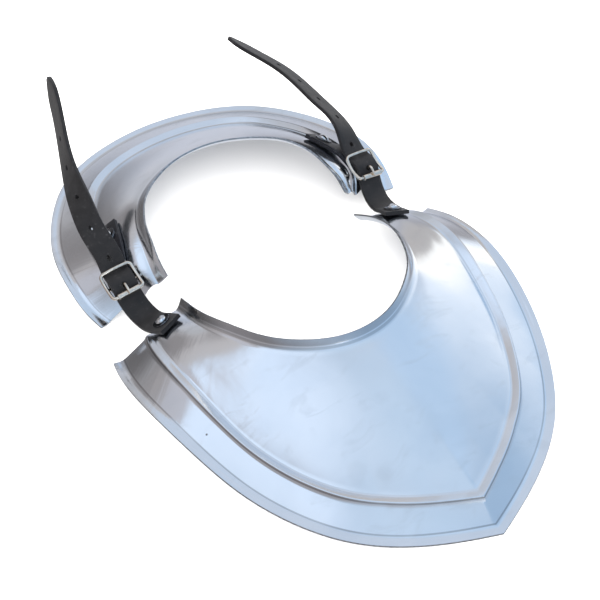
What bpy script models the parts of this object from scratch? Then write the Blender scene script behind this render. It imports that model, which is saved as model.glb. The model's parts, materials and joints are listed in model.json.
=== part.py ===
"""Steel gorget: two ridged collar plates joined at the shoulders by buckled leather straps.

Metres, +Z up, the pointed front plate towards -Y, left and right as seen from the front.
"""
import math

import bmesh
import bpy
import numpy as np
from mathutils import Matrix, Vector
from mathutils.bvhtree import BVHTree

# Overall size
HALF_WIDTH = 0.1383
FRONT_REACH = 0.2263
BACK_REACH = 0.2215
FRONT_NECK_HEIGHT = 0.0523
BACK_NECK_HEIGHT = 0.0460
SHEET = 0.0012

# Section of both plates, from the outer edge to the neck
FLANGE_RUN = 0.0058
FLANGE_DROP = 0.0010
FRONT_BORDER_RUN = 0.0172
BACK_BORDER_RUN = 0.0182
RIDGE_HEIGHT = 0.0125
STEP_RUN = 0.0020
STEP_DROP = 0.0030
RISE_RUN = 0.0058
RISE_DROP = 0.0020
PANEL_CROWN = 0.0028
NECK_FLANGE_RUN = 0.0042
NECK_FLANGE_RISE = 0.0056
END_HOLLOW = 0.0065
END_FADE = 0.16

# How far each corner of the section is cut back: tip, root, foot, ridge, crease, neck root, neck tip
CORNER_CUTS = (0, 0.0030, 0.0010, 0.0007, 0.0022, 0.0036, 0)

# Leather
STRAP_WIDTH = 0.0182
STRAP_THICK = 0.0028
CHAPE_WIDTH = 0.0170
CHAPE_THICK = 0.0015
TAIL_TAPER = 0.018
HOLE_LENGTH = 0.0042
HOLE_WIDTH = 0.0028
HOLE_PITCH = 0.0241
HOLE_COUNT = 5
SLOT_WIDTH = 0.0046
STRAP_END = 0.0098
STRAP_SAG = (-0.0008, -0.0028, -0.0066)
FRONT_TURN = 0.34
BACK_TURN = 0.30
CHAPE_END = 0.0108
TONGUE_AT = 0.0036

# Buckle
WIRE = 0.0012
FRAME_WIDTH = 0.0230
FRAME_LENGTH = 0.0200
FRAME_CORNER = 0.0026
FRAME_DIP = 0.0055
FRAME_BOW = 0.0020
FAR_ARCH = 0.0013
ROLLER_WALL = 0.0006
ROLLER_LENGTH = 0.0162
TONGUE_WIRE = 0.0009
# Each buckle: inwards from HALF_WIDTH, along, up, then pitch, roll and yaw in degrees
BUCKLE_AT = {"left": (0.0350, 0.0556, 0.0309, 17.0, 5.0, 1.0),
             "right": (0.0350, 0.0581, 0.0311, 22.0, 8.0, 2.0)}

# Rivets
SHANK = 0.0016
DOME_RADIUS = 0.0046
DOME_HEIGHT = 0.0024
TAIL_RADIUS = 0.0026
TAIL_HEIGHT = 0.0007
WASHER_RADIUS = 0.0066
WASHER_THICK = 0.0009
FRONT_RIVET = (HALF_WIDTH - 0.0425, 0.0132)
BACK_RIVET = (HALF_WIDTH - 0.0474, 0.0970)

GAP = 0.0003
TAIL_GAP = 0.0011
TINY = 1e-9

# Outer edges and neck rims of the right half, in shares of HALF_WIDTH, of the reach and of the neck height
FRONT_OUTER = (
    (0.967, -0.077, 0.040), (0.993, 0.009, 0.185), (1.000, 0.115, 0.306), (0.981, 0.243, 0.382),
    (0.937, 0.384, 0.356), (0.859, 0.539, 0.245), (0.746, 0.676, 0.161), (0.578, 0.806, 0.103),
    (0.376, 0.897, 0.062), (0.159, 0.962, 0.038), (0.000, 1.000, 0.028))
FRONT_NECK = (
    (0.529, -0.131, 0.357), (0.547, -0.044, 0.593), (0.544, 0.026, 0.736), (0.499, 0.129, 0.885),
    (0.415, 0.231, 0.956), (0.299, 0.300, 0.975), (0.159, 0.350, 0.994), (0.000, 0.368, 1.000))
BACK_OUTER = (
    (0.910, 0.224, 0.045), (0.936, 0.280, 0.120), (0.950, 0.370, 0.250), (0.941, 0.456, 0.287),
    (0.917, 0.537, 0.263), (0.873, 0.621, 0.228), (0.759, 0.754, 0.172), (0.607, 0.869, 0.104),
    (0.434, 0.941, 0.058), (0.217, 0.986, 0.034), (0.000, 1.000, 0.030))
BACK_NECK = (
    (0.542, 0.196, 0.637), (0.541, 0.251, 0.783), (0.524, 0.307, 0.891), (0.502, 0.370, 0.961),
    (0.463, 0.423, 0.993), (0.424, 0.461, 1.000), (0.351, 0.508, 0.985), (0.246, 0.553, 0.967),
    (0.123, 0.585, 0.952), (0.000, 0.595, 0.946))

# Share of the run from the end to the middle, then the share of the border run and of the ridge height
FRONT_SECTION = (
    (0.00, 0.97, 1.10), (0.12, 1.00, 0.98), (0.35, 1.00, 0.80), (0.60, 1.00, 0.74),
    (0.80, 0.98, 0.86), (0.92, 0.84, 1.02), (1.00, 0.70, 1.18))
BACK_SECTION = ((0.00, 1.00, 1.00), (0.30, 1.00, 1.00), (0.60, 1.02, 0.98), (1.00, 1.04, 0.90))

# Strap behind the buckle: across, along and up from the middle of its buckle, and the lean in degrees
TAILS = {
    "left": ((-0.0008, 0.0183, 0.0060, 15), (0.0003, 0.0360, 0.0160, 23), (-0.0011, 0.0537, 0.0259, 33),
             (-0.0045, 0.0733, 0.0341, 55), (-0.0116, 0.0973, 0.0425, 68), (-0.0209, 0.1237, 0.0524, 71),
             (-0.0283, 0.1490, 0.0633, 75)),
    "right": ((0.0011, 0.0308, 0.0129, 30), (0.0011, 0.0568, 0.0168, 32), (-0.0004, 0.0848, 0.0192, 33),
              (-0.0038, 0.1101, 0.0212, 32), (-0.0128, 0.1333, 0.0248, 32), (-0.0225, 0.1558, 0.0293, 35))}

PLATE_ROWS = 23
STRAP_ROWS = 48
ROUND_WINDOW = 0.16
ROUND_DEPTH = 0.4
ROUND_ONSET = 0.4
FADE_ROWS = 6


# Helpers: scene, materials and curves
def clear_scene():
    for item in list(bpy.data.objects):
        bpy.data.objects.remove(item, do_unlink=True)


def collection(name):
    made = bpy.data.collections.new(name)
    bpy.context.scene.collection.children.link(made)
    return made


def material(name, colour, metallic, roughness):
    made = bpy.data.materials.new(name)
    made.use_nodes = True
    shader = made.node_tree.nodes["Principled BSDF"]
    shader.inputs["Base Color"].default_value = (*colour, 1.0)
    shader.inputs["Metallic"].default_value = metallic
    shader.inputs["Roughness"].default_value = roughness
    made.diffuse_color = (*colour, 1.0)
    return made


def natural_spline(points):
    """A cubic through the points over their chord length; returns a function of 0 to 1."""
    pts = np.asarray(points, float)
    knots = np.concatenate(([0.0], np.cumsum(np.linalg.norm(np.diff(pts[:, :3], axis=0), axis=1))))
    steps = np.diff(knots)
    count = len(pts)
    system = np.eye(count)
    right = np.zeros_like(pts)
    for i in range(1, count - 1):
        system[i, i - 1] = steps[i - 1]
        system[i, i] = 2 * (steps[i - 1] + steps[i])
        system[i, i + 1] = steps[i]
        right[i] = 6 * ((pts[i + 1] - pts[i]) / steps[i] - (pts[i] - pts[i - 1]) / steps[i - 1])
    bend = np.linalg.solve(system, right)

    def at(share):
        where = share * knots[-1]
        i = int(min(max(np.searchsorted(knots, where) - 1, 0), count - 2))
        a, b, h = knots[i + 1] - where, where - knots[i], steps[i]
        return (bend[i] * a ** 3 + bend[i + 1] * b ** 3) / (6 * h) + \
            (pts[i] / h - bend[i] * h / 6) * a + (pts[i + 1] / h - bend[i + 1] * h / 6) * b
    return at


def half_line(table, reach, height, pointed):
    """The right half of an edge as a function of 0 at the end to 1 in the middle."""
    rows = [(a * HALF_WIDTH, b * reach, c * height) for a, b, c in table]
    if pointed:
        return natural_spline(rows)
    whole = natural_spline(rows + [(-x, y, z) for x, y, z in reversed(rows[:-1])])
    return lambda share: whole(share / 2)


def rounded(corners, sizes, counts):
    """The corners as a run of points, each cut back by its size and bent in its count of steps."""
    run = []
    for i, corner in enumerate(corners):
        if counts[i] == 0:
            run.append(corner)
            continue
        before, after = corners[i - 1] - corner, corners[i + 1] - corner
        start = corner + before * min(sizes[i] / np.linalg.norm(before), 0.45)
        stop = corner + after * min(sizes[i] / np.linalg.norm(after), 0.45)
        for k in range(counts[i] + 1):
            t = k / counts[i]
            run.append((1 - t) ** 2 * start + 2 * t * (1 - t) * corner + t * t * stop)
    return run


# Plates
def section_at(outer, neck, section, border_run, bends, share):
    """Plan start, plan direction, width and run of (away, height) points at a share of the half."""
    out, rim = outer(share), neck(share)
    ahead, behind = outer(min(share + 0.01, 1.0)), outer(max(share - 0.01, 0.0))
    course = (ahead - behind)[:2]
    across = (rim - out)[:2]
    width = float(np.linalg.norm(across))
    across = across / width
    slant = abs(course[0] * across[1] - course[1] * across[0]) / np.linalg.norm(course)
    border = border_run * np.interp(share, section[:, 0], section[:, 1])
    ridge = RIDGE_HEIGHT * np.interp(share, section[:, 0], section[:, 2])
    root = out[2] - FLANGE_DROP
    stops = np.cumsum([0.0, FLANGE_RUN, border, STEP_RUN, RISE_RUN]) / slant
    corners = [np.array(pair) for pair in (
        (stops[0], out[2]), (stops[1], root), (stops[2], root + ridge - STEP_DROP),
        (stops[3], root + ridge), (stops[4], root + ridge - RISE_DROP),
        (width - NECK_FLANGE_RUN, rim[2] - NECK_FLANGE_RISE), (width, rim[2]))]
    return out[:2], across, width, rounded(corners, CORNER_CUTS, bends)


def plate_grid(outer, neck, section, border_run, rows, bends, panel_steps):
    """Points of a plate's upper face, row by row from the right end to the left end."""
    section = np.asarray(section, float)
    first = sum(count + 1 for count in bends[:5])
    sign = -1.0 if outer(1.0)[1] < 0 else 1.0
    half = []
    for j in range(rows + 1):
        share = j / rows
        start, across, width, run = section_at(outer, neck, section, border_run, bends, share)
        hollow = sign * END_HOLLOW * max(0.0, 1 - share / END_FADE) ** 2
        line = []
        for away, height in run:
            back = math.sin(math.pi * min(max(away / width, 0), 1))
            place = start + across * away
            line.append((place[0], place[1] + hollow * back, height))
        half.append(np.array(line))
    half = np.array(half)
    whole = np.concatenate((half, half[-2::-1] * (-1, 1, 1)))
    # Inside the crease the panel's lines run rounder than the crease itself
    crease, root = whole[:, first - 1], whole[:, first]
    reach = int(round(ROUND_WINDOW * rows))
    padded = np.concatenate((np.repeat(crease[:1], reach, 0), crease, np.repeat(crease[-1:], reach, 0)))
    weights = np.array([reach + 1 - abs(k) for k in range(-reach, reach + 1)], float)
    soft = sum(w * padded[k:k + len(crease)] for k, w in enumerate(weights)) / weights.sum()
    middle = 1 - np.abs(np.linspace(-1, 1, len(crease)))
    soft = crease + (soft - crease) * np.clip(middle / ROUND_ONSET, 0, 1)[:, None]
    panel = []
    for k in range(1, panel_steps):
        inside = k / panel_steps
        blend = min(inside / ROUND_DEPTH, 1.0)
        blend = blend * blend * (3 - 2 * blend)
        line = (crease + (soft - crease) * blend) * (1 - inside) + root * inside
        line[:, 2] += PANEL_CROWN * 4 * inside * (1 - inside)
        panel.append(line)
    return np.concatenate((whole[:, :first], np.stack(panel, 1), whole[:, first:]), axis=1)


def face_up(mesh_data):
    mesh_data.normal_update()
    if sum(f.normal.z * f.calc_area() for f in mesh_data.faces) < 0:
        bmesh.ops.reverse_faces(mesh_data, faces=mesh_data.faces[:])
        mesh_data.normal_update()


def sheet_bmesh(grid):
    """A flat grid of the same count, its points moved onto the plate."""
    rows, columns = grid.shape[0], grid.shape[1]
    made = bmesh.new()
    bmesh.ops.create_grid(made, x_segments=rows - 1, y_segments=columns - 1, size=0.5)
    for vert in made.verts:
        j = int(round((vert.co.x + 0.5) * (rows - 1)))
        i = int(round((vert.co.y + 0.5) * (columns - 1)))
        vert.co = Vector(grid[j, i])
    face_up(made)
    return made


def object_from(made, name, parent, coat):
    mesh_data = bpy.data.meshes.new(name)
    made.to_mesh(mesh_data)
    made.free()
    thing = bpy.data.objects.new(name, mesh_data)
    parent.objects.link(thing)
    if coat is not None:
        mesh_data.materials.append(coat)
    return thing


def cut(thing, cutter):
    step = thing.modifiers.new("cut", "BOOLEAN")
    step.operation = "DIFFERENCE"
    step.solver = "EXACT"
    step.object = cutter


def make_plate(name, grid, coat):
    thing = object_from(sheet_bmesh(grid), name, BODY, coat)
    step = thing.modifiers.new("sheet", "SOLIDIFY")
    step.thickness = SHEET
    step.offset = -1.0
    step.use_even_offset = True
    return thing


def seat(tree, x, y):
    """Point and upward normal of a plate under a plan point."""
    place, normal, _, _ = tree.ray_cast(Vector((x, y, 0.2)), Vector((0, 0, -1)))
    if place is None:
        return None, None
    return place, normal if normal.z > 0 else -normal


# Solids along a path
def ribbon(path, sides, normals, width_at, thick, close_ends=True):
    """A strip of leather swept along a path, its sides and normals given at each point."""
    made = bmesh.new()
    rings = []
    count = len(path)
    for i in range(count):
        wide, tall = width_at(i) / 2, thick / 2
        rings.append([made.verts.new(path[i] + sides[i] * wide * u + normals[i] * tall * v)
                      for u, v in ((-1, -1), (1, -1), (1, 1), (-1, 1))])
    for a, b in zip(rings, rings[1:]):
        for k in range(4):
            made.faces.new((a[k], a[(k + 1) % 4], b[(k + 1) % 4], b[k]))
    if close_ends:
        made.faces.new(rings[0][::-1])
        made.faces.new(rings[-1])
    bmesh.ops.recalc_face_normals(made, faces=made.faces[:])
    return made


def tube_object(name, points, radius, coat, cyclic=False, parent=None):
    """A round wire along points, made as a bevelled poly curve."""
    curve = bpy.data.curves.new(name + "_line", "CURVE")
    curve.dimensions = "3D"
    curve.bevel_depth = radius
    curve.bevel_resolution = 2
    curve.render_resolution_u = 0
    curve.use_fill_caps = not cyclic
    line = curve.splines.new("POLY")
    line.points.add(len(points) - 1)
    for spot, place in zip(line.points, points):
        spot.co = (*place, 1.0)
    line.use_cyclic_u = cyclic
    holder = bpy.data.objects.new(name + "_line", curve)
    bpy.context.scene.collection.objects.link(holder)
    bpy.context.view_layer.update()
    graph = bpy.context.evaluated_depsgraph_get()
    mesh_data = bpy.data.meshes.new_from_object(holder.evaluated_get(graph))
    bpy.data.objects.remove(holder, do_unlink=True)
    made = bmesh.new()
    made.from_mesh(mesh_data)
    bpy.data.meshes.remove(mesh_data)
    bmesh.ops.remove_doubles(made, verts=made.verts[:], dist=1e-6)
    bmesh.ops.recalc_face_normals(made, faces=made.faces[:])
    if made.calc_volume(signed=True) < 0:
        bmesh.ops.reverse_faces(made, faces=made.faces[:])
    return object_from(made, name, parent or BODY, coat)


def cylinder(name, matrix, radius, low, high, parent, coat=None, sides=16):
    made = bmesh.new()
    bmesh.ops.create_cone(made, cap_ends=True, segments=sides, radius1=radius, radius2=radius,
                          depth=high - low, matrix=Matrix.Translation((0, 0, (low + high) / 2)))
    bmesh.ops.transform(made, matrix=matrix, verts=made.verts[:])
    return object_from(made, name, parent, coat)


def cutter_from(made, name):
    thing = object_from(made, name, CUTTERS, None)
    thing.hide_render = True
    thing.display_type = "WIRE"
    return thing


def spun(profile, matrix, name, coat, sides=20):
    """A solid of turning about the local z axis; the profile starts and ends on the axis."""
    made = bmesh.new()
    verts = [made.verts.new((r, 0, z)) for r, z in profile]
    edges = [made.edges.new(pair) for pair in zip(verts, verts[1:])]
    closed = profile[0][0] > TINY
    if closed:
        edges.append(made.edges.new((verts[-1], verts[0])))
    bmesh.ops.spin(made, geom=verts + edges, cent=(0, 0, 0), axis=(0, 0, 1), dvec=(0, 0, 0),
                   angle=2 * math.pi, steps=sides, use_merge=True, use_duplicate=False)
    bmesh.ops.remove_doubles(made, verts=made.verts[:], dist=1e-6)
    bmesh.ops.recalc_face_normals(made, faces=made.faces[:])
    bmesh.ops.transform(made, matrix=matrix, verts=made.verts[:])
    return object_from(made, name, BODY, coat)


def frame_at(place, normal, forward):
    """A matrix with z along the normal and y near the forward direction."""
    up = normal.normalized()
    side = forward.cross(up).normalized()
    front = up.cross(side).normalized()
    made = Matrix((side, front, up)).transposed().to_4x4()
    made.translation = place
    return made


def rivet(side, which, place, normal, half_stack, tree):
    """Rivet and washer through the middle of a stack of leather down to the plate under it."""
    base = frame_at(place, normal, Vector((0, 1, 0)))
    label = which + "_{}_" + side
    under = tree.ray_cast(place, -normal)[3]
    bottom = -under - SHEET - TAIL_GAP
    washer_low = half_stack + GAP * 1.3
    head_low = washer_low + WASHER_THICK + GAP
    dome = [(DOME_RADIUS * math.cos(a), head_low + DOME_HEIGHT * math.sin(a))
            for a in (math.radians(d) for d in (0, 28, 56))]
    profile = [(0, bottom - TAIL_HEIGHT), (TAIL_RADIUS, bottom - TAIL_HEIGHT), (TAIL_RADIUS, bottom),
               (SHANK, bottom), (SHANK, head_low)] + dome + [(0, head_low + DOME_HEIGHT)]
    made = spun(profile, base, label.format("rivet"), STEEL_BRIGHT, 14)
    inner = SHANK + GAP
    ring = [(inner, washer_low), (WASHER_RADIUS, washer_low),
            (WASHER_RADIUS, washer_low + WASHER_THICK * 0.6),
            (WASHER_RADIUS - 0.0005, washer_low + WASHER_THICK), (inner, washer_low + WASHER_THICK)]
    washer = spun(ring, base, label.format("washer"), STEEL_BRIGHT, 14)
    drill = cylinder("drill_" + which + "_" + side, base, inner, -0.009, 0.009, CUTTERS, None, 12)
    drill.hide_render = True
    drill.display_type = "WIRE"
    for thing in (made, washer, drill):
        mirror_if_left(thing, side)
    return drill


# Straps and buckles
def buckle_matrix(side):
    """Local x outwards across the buckle, y to the back, z up."""
    inset, along, height, pitch, roll, yaw = BUCKLE_AT[side]
    turn = Matrix.Rotation(math.radians(yaw), 3, "Z") @ Matrix.Rotation(math.radians(roll), 3, "Y")
    made = (turn @ Matrix.Rotation(math.radians(pitch), 3, "X")).to_4x4()
    made.translation = (HALF_WIDTH - inset, along, height)
    return made


def resample(control, count):
    """Equal steps along a smooth curve through control rows; returns the rows."""
    line = natural_spline(control)
    fine = np.array([line(k / 400) for k in range(401)])
    run = np.concatenate(([0.0], np.cumsum(np.linalg.norm(np.diff(fine[:, :3], axis=0), axis=1))))
    wanted = np.linspace(0, run[-1], count)
    return np.stack([np.interp(wanted, run, fine[:, k]) for k in range(fine.shape[1])], 1), run[-1]


def flat_rows(tree, spot, course, reaches, lift, width):
    """Rows on a straight line through a rivet, the strip lying on the highest ground under it."""
    course = course.normalized()
    across = Vector((course.y, -course.x, 0.0))
    ground = []
    for i in range(7):
        for j in range(7):
            reach = reaches[0] + (reaches[-1] - reaches[0]) * i / 6
            plan = Vector((*spot, 0.0)) + course * reach + across * width * (j / 6 - 0.5)
            place, _ = seat(tree, plan.x, plan.y)
            if place is not None:
                ground.append(place)
    points = np.array(ground)
    level = np.column_stack((points[:, :2], np.ones(len(points))))
    slopes = np.linalg.lstsq(level, points[:, 2], rcond=None)[0]
    normal = Vector((-slopes[0], -slopes[1], 1.0)).normalized()
    rise = max(normal.dot(place) for place in ground) + lift
    along = (course - normal * course.dot(normal)).normalized()
    flat = along.cross(Vector((0, 0, 1))).normalized()
    lean = math.atan2(normal.dot(flat), normal.dot(flat.cross(along)))
    middle = Vector((*spot, (rise - normal.x * spot[0] - normal.y * spot[1]) / normal.z))
    return [(*(middle + along * reach), lean) for reach in reaches]


def strap_rows(side, front_tree):
    """Control rows of a strap's middle line: place and lean in radians, right-hand side."""
    course = Vector((-FRONT_TURN, -1.0, 0.0))
    rows = flat_rows(front_tree, FRONT_RIVET, -course,
                     (-STRAP_END, -STRAP_END / 2, 0.0, 1.3 * WASHER_RADIUS), GAP + STRAP_THICK / 2,
                     STRAP_WIDTH)
    buckle = buckle_matrix(side)
    roll = math.radians(BUCKLE_AT[side][4])
    half = FRAME_LENGTH / 2
    under = -(WIRE + GAP + ROLLER_WALL + GAP + STRAP_THICK / 2)
    over = -FRAME_DIP + WIRE + 2 * TONGUE_WIRE + 4.5 * GAP + STRAP_THICK / 2
    far = -(WIRE + GAP + STRAP_THICK / 2)
    near = buckle @ Vector((0, -half, under - 4.6 * GAP))
    rows.append((*(Vector(rows[-1][:3]).lerp(near, 0.5) + Vector(STRAP_SAG)), roll))
    rows.append((*near, roll + 0.08))
    rows.append((*(buckle @ Vector((0, 0, over))), roll))
    rows.append((*(buckle @ Vector((0, half, far))), roll))
    for x, y, z, lean in TAILS[side]:
        rows.append((*(buckle.translation + Vector((x, y, z))), math.radians(lean)))
    return rows


def lifted(rows, tree, clear, width, flat_share):
    """Rows raised clear of a plate, those of the flat at the start all by the same."""
    places, sides, normals = strip_frames(rows)
    lift = []
    for place, side in zip(places, sides):
        need = 0.0
        for u in (-0.5, -0.25, 0.0, 0.25, 0.5):
            spot = place + side * width * u
            ground, normal = seat(tree, spot.x, spot.y)
            if ground is not None:
                need = max(need, ground.z + clear / max(normal.z, 0.3) - spot.z)
        lift.append(need)
    out = rows.copy()
    flat = int(math.ceil(flat_share * (len(rows) - 1))) + 1
    most = max(lift[:flat])
    for i in range(len(rows)):
        fade = 1.0 if i < flat else max(0.0, 1 - (i - flat + 1) / FADE_ROWS)
        out[i, 2] += max(most * fade, max(lift[max(i - 1, 0):i + 2]) if i >= flat else 0.0)
    return out


def strip_frames(rows):
    """Places, side directions and normals along rows of place and lean."""
    places = [Vector(row[:3]) for row in rows]
    sides, normals = [], []
    for i, row in enumerate(rows):
        course = (places[min(i + 1, len(rows) - 1)] - places[max(i - 1, 0)]).normalized()
        flat = course.cross(Vector((0, 0, 1))).normalized()
        turn = Matrix.Rotation(row[3], 3, course)
        side = turn @ flat
        sides.append(side)
        normals.append(side.cross(course).normalized())
    return places, sides, normals


def hole_cutter(name, place, course, normal):
    """An oval punch, long way along the strap."""
    made = bmesh.new()
    bmesh.ops.create_cone(made, cap_ends=True, segments=10, radius1=HOLE_WIDTH / 2,
                          radius2=HOLE_WIDTH / 2, depth=3.2 * STRAP_THICK)
    stretch = HOLE_LENGTH / HOLE_WIDTH
    bmesh.ops.scale(made, vec=(1, stretch, 1), verts=made.verts[:])
    bmesh.ops.transform(made, matrix=frame_at(place, normal, course), verts=made.verts[:])
    return cutter_from(made, name)


def mirror_if_left(thing, side):
    if side == "left":
        thing.data.transform(Matrix.Scale(-1, 4, (1, 0, 0)))
        thing.data.flip_normals()


def make_strap(side, front_tree):
    rows, length = resample(strap_rows(side, front_tree), STRAP_ROWS)
    flat_share = (STRAP_END + 1.3 * WASHER_RADIUS) / length
    rows = lifted(rows, front_tree, GAP + STRAP_THICK / 2, STRAP_WIDTH, flat_share)
    places, sides, normals = strip_frames(rows)
    step = length / (len(rows) - 1)

    def width_at(i):
        left = max(length - i * step, 0.0)
        share = min(1.0, left / TAIL_TAPER)
        return STRAP_WIDTH * (0.20 + 0.80 * math.sin(share * math.pi / 2) ** 0.8)

    thing = object_from(ribbon(places, sides, normals, width_at, STRAP_THICK),
                        "strap_" + side, BODY, LEATHER)
    mirror_if_left(thing, side)
    inward = buckle_matrix(side).inverted()
    depth = [(inward @ place).y for place in places]
    start = next(i for i in range(len(depth)) if depth[i] > -TONGUE_AT)
    hole_run = (start - (depth[start] + TONGUE_AT) / (depth[start] - depth[start - 1])) * step
    for k in range(HOLE_COUNT + 1):
        run = hole_run + k * HOLE_PITCH
        i = run / step
        a = int(i)
        place = places[a].lerp(places[a + 1], i - a)
        course = (places[a + 1] - places[a]).normalized()
        punch = hole_cutter("hole_%s_%d" % (side, k), place, course, normals[a])
        mirror_if_left(punch, side)
        cut(thing, punch)
    spot = min(range(len(places)), key=lambda i: (places[i].xy - Vector(FRONT_RIVET)).length)
    return thing, places[spot], normals[spot]


def make_chape(side, back_tree):
    """A strip folded round the middle bar, both layers riveted to the back plate."""
    buckle = buckle_matrix(side)
    roll = math.radians(BUCKLE_AT[side][4])
    layer = CHAPE_THICK / 2 + GAP / 2
    thick = layer + CHAPE_THICK / 2
    bar = Vector((0, 0, -FRAME_DIP))
    course = Vector((BACK_TURN, -1.0, 0.0))
    rows = flat_rows(back_tree, BACK_RIVET, course, (-CHAPE_END, -CHAPE_END / 2, 0.0, WASHER_RADIUS),
                     GAP + thick, CHAPE_WIDTH)
    rows += [(*(buckle @ (bar + Vector((-0.0030, 0.0170, -0.0026)))), -roll - 0.06),
             (*(buckle @ (bar + Vector((-0.0010, 0.0100, -0.0022)))), -roll),
             (*(buckle @ (bar + Vector((0, 0.0042, -0.0009)))), -roll)]
    rows, length = resample(rows, 22)
    flat_share = (CHAPE_END + WASHER_RADIUS + 0.0005) / length
    rows = lifted(rows, back_tree, GAP + thick, CHAPE_WIDTH, flat_share)
    places, sides, normals = strip_frames(rows)
    # The fold swells from the flat pair to the round of the bar
    round_out = WIRE + GAP + CHAPE_THICK / 2
    upper, lower, upper_n, lower_n = [], [], [], []
    for i in range(len(places)):
        near = max(0.0, 1 - (len(places) - 1 - i) / 4)
        spread = layer + (round_out - layer) * near * near * 0.8
        upper.append(places[i] + normals[i] * spread)
        lower.append(places[i] - normals[i] * spread)
    turn_places, turn_normals = [], []
    centre = buckle @ bar
    ahead = (buckle.to_3x3() @ Vector((0, -1, 0))).normalized()
    up = (buckle.to_3x3() @ Vector((0, 0, 1))).normalized()
    for degrees in range(70, -71, -20):
        a = math.radians(degrees)
        out = ahead * math.cos(a) + up * math.sin(a)
        turn_places.append(centre + out * round_out)
        turn_normals.append(out)
    path = upper + turn_places + lower[::-1]
    across = (buckle.to_3x3() @ Vector((1, 0, 0))).normalized()
    path_sides = sides + [-across] * len(turn_places) + sides[::-1]
    path_sides = [s if s.dot(across) > 0 else -s for s in path_sides]
    path_normals = []
    for i in range(len(path)):
        course = (path[min(i + 1, len(path) - 1)] - path[max(i - 1, 0)]).normalized()
        path_normals.append(path_sides[i].cross(course).normalized())
    made = ribbon(path, path_sides, path_normals, lambda i: CHAPE_WIDTH, CHAPE_THICK)
    thing = object_from(made, "chape_" + side, BODY, LEATHER)
    mirror_if_left(thing, side)
    slot = bmesh.new()
    bmesh.ops.create_cube(slot, size=1.0)
    bmesh.ops.scale(slot, vec=(SLOT_WIDTH, 0.0095, 0.016), verts=slot.verts[:])
    bmesh.ops.transform(slot, matrix=buckle @ Matrix.Translation(bar + Vector((0, -0.0008, 0))),
                        verts=slot.verts[:])
    punch = cutter_from(slot, "slot_" + side)
    mirror_if_left(punch, side)
    cut(thing, punch)
    spot = min(range(len(places)), key=lambda i: (places[i].xy - Vector(BACK_RIVET)).length)
    return thing, places[spot], normals[spot], thick


def frame_loop():
    """Points of the buckle's outer wire in its own frame."""
    half_w, half_l, r = FRAME_WIDTH / 2, FRAME_LENGTH / 2, FRAME_CORNER
    points = []
    for cx, cy, start in ((half_w - r, half_l - r, 0), (-half_w + r, half_l - r, 90),
                          (-half_w + r, -half_l + r, 180), (half_w - r, -half_l + r, 270)):
        for k in range(4):
            a = math.radians(start + 90 * k / 3)
            points.append((cx + r * math.cos(a), cy + r * math.sin(a)))
        if start == 0:
            points.extend(((half_w - r) * s, half_l) for s in (0.5, 0.0, -0.5))
        if start in (90, 270):
            sign = -1 if start == 90 else 1
            points.extend((sign * half_w, sign * -1 * s * (half_l - r) * -1) for s in
                          ((0.5, 0.0, -0.5) if start == 90 else (-0.5, 0.0, 0.5)))
    out = []
    for x, y in points:
        z = -FRAME_BOW * (1 - (y / half_l) ** 2)
        if y > 0:
            z += FAR_ARCH * (1 - (x / half_w) ** 2) * (y / half_l)
        out.append(Vector((x, y, z)))
    return out


def bar_line():
    """Points of the middle bar, dropped between the side wires to leave room for the leather."""
    half, low, high = FRAME_WIDTH / 2, -FRAME_DIP, -FRAME_BOW
    right = [(half, high), (half - WIRE / 2, low * 0.55 + high * 0.45),
             (half - 1.4 * WIRE, low * 0.88 + high * 0.12), (half - 2.3 * WIRE, low)]
    return [Vector((x, WIRE / 10, z)) for x, z in right + [(-x, z) for x, z in right[::-1]]]


def make_buckle(side):
    base = buckle_matrix(side)
    loop = frame_loop()
    frame = tube_object("buckle_frame_" + side, [base @ p for p in loop], WIRE, NICKEL, True)
    mirror_if_left(frame, side)
    bar = tube_object("middle_bar_" + side, [base @ p for p in bar_line()], WIRE * 0.93, None, False,
                      CUTTERS)
    mirror_if_left(bar, side)
    bar.hide_render = True
    bar.display_type = "WIRE"
    step = frame.modifiers.new("bar", "BOOLEAN")
    step.operation = "UNION"
    step.solver = "EXACT"
    step.use_self = True
    step.object = bar
    inner = WIRE + GAP
    outer = inner + ROLLER_WALL
    spin_frame = base @ Matrix.Translation((0, -FRAME_LENGTH / 2, 0)) @ Matrix.Rotation(math.pi / 2, 4, "Y")
    half = ROLLER_LENGTH / 2
    ring = [(inner, -half), (outer, -half), (outer, half), (inner, half)]
    roller = spun(ring, spin_frame, "roller_" + side, NICKEL, 14)
    mirror_if_left(roller, side)
    ring_r = WIRE + GAP + TONGUE_WIRE
    rest = WIRE + GAP + ROLLER_WALL + GAP + TONGUE_WIRE
    points = []
    for degrees in range(-60, 161, 27):
        a = math.radians(degrees)
        points.append(Vector((0, ring_r * math.cos(a), -FRAME_DIP + ring_r * math.sin(a))))
    top = -FRAME_DIP + ring_r
    near = -FRAME_LENGTH / 2
    points += [Vector((0, -0.0029, top - 0.0002)), Vector((0, -0.0034, top + 0.0014)),
               Vector((0, -0.0038, top + 0.0042)), Vector((0, -0.0048, rest + 0.0004)),
               Vector((0, -0.0066, rest + 0.0007)), Vector((0, near + 0.0012, rest + 0.0003)),
               Vector((0, near - 0.0008, rest)), Vector((0, near - 0.0024, rest - 0.0008))]
    tongue = tube_object("tongue_" + side, [base @ p for p in points], TONGUE_WIRE, NICKEL)
    mirror_if_left(tongue, side)


# Build
clear_scene()
BODY = collection("steel_gorget")
CUTTERS = collection("cutters")
STEEL = material("polished_steel", (0.70, 0.74, 0.78), 1.0, 0.22)
STEEL_BRIGHT = material("rivet_steel", (0.78, 0.80, 0.82), 1.0, 0.25)
NICKEL = material("buckle_nickel", (0.82, 0.80, 0.76), 1.0, 0.25)
LEATHER = material("black_leather", (0.035, 0.035, 0.038), 0.0, 0.55)

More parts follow.
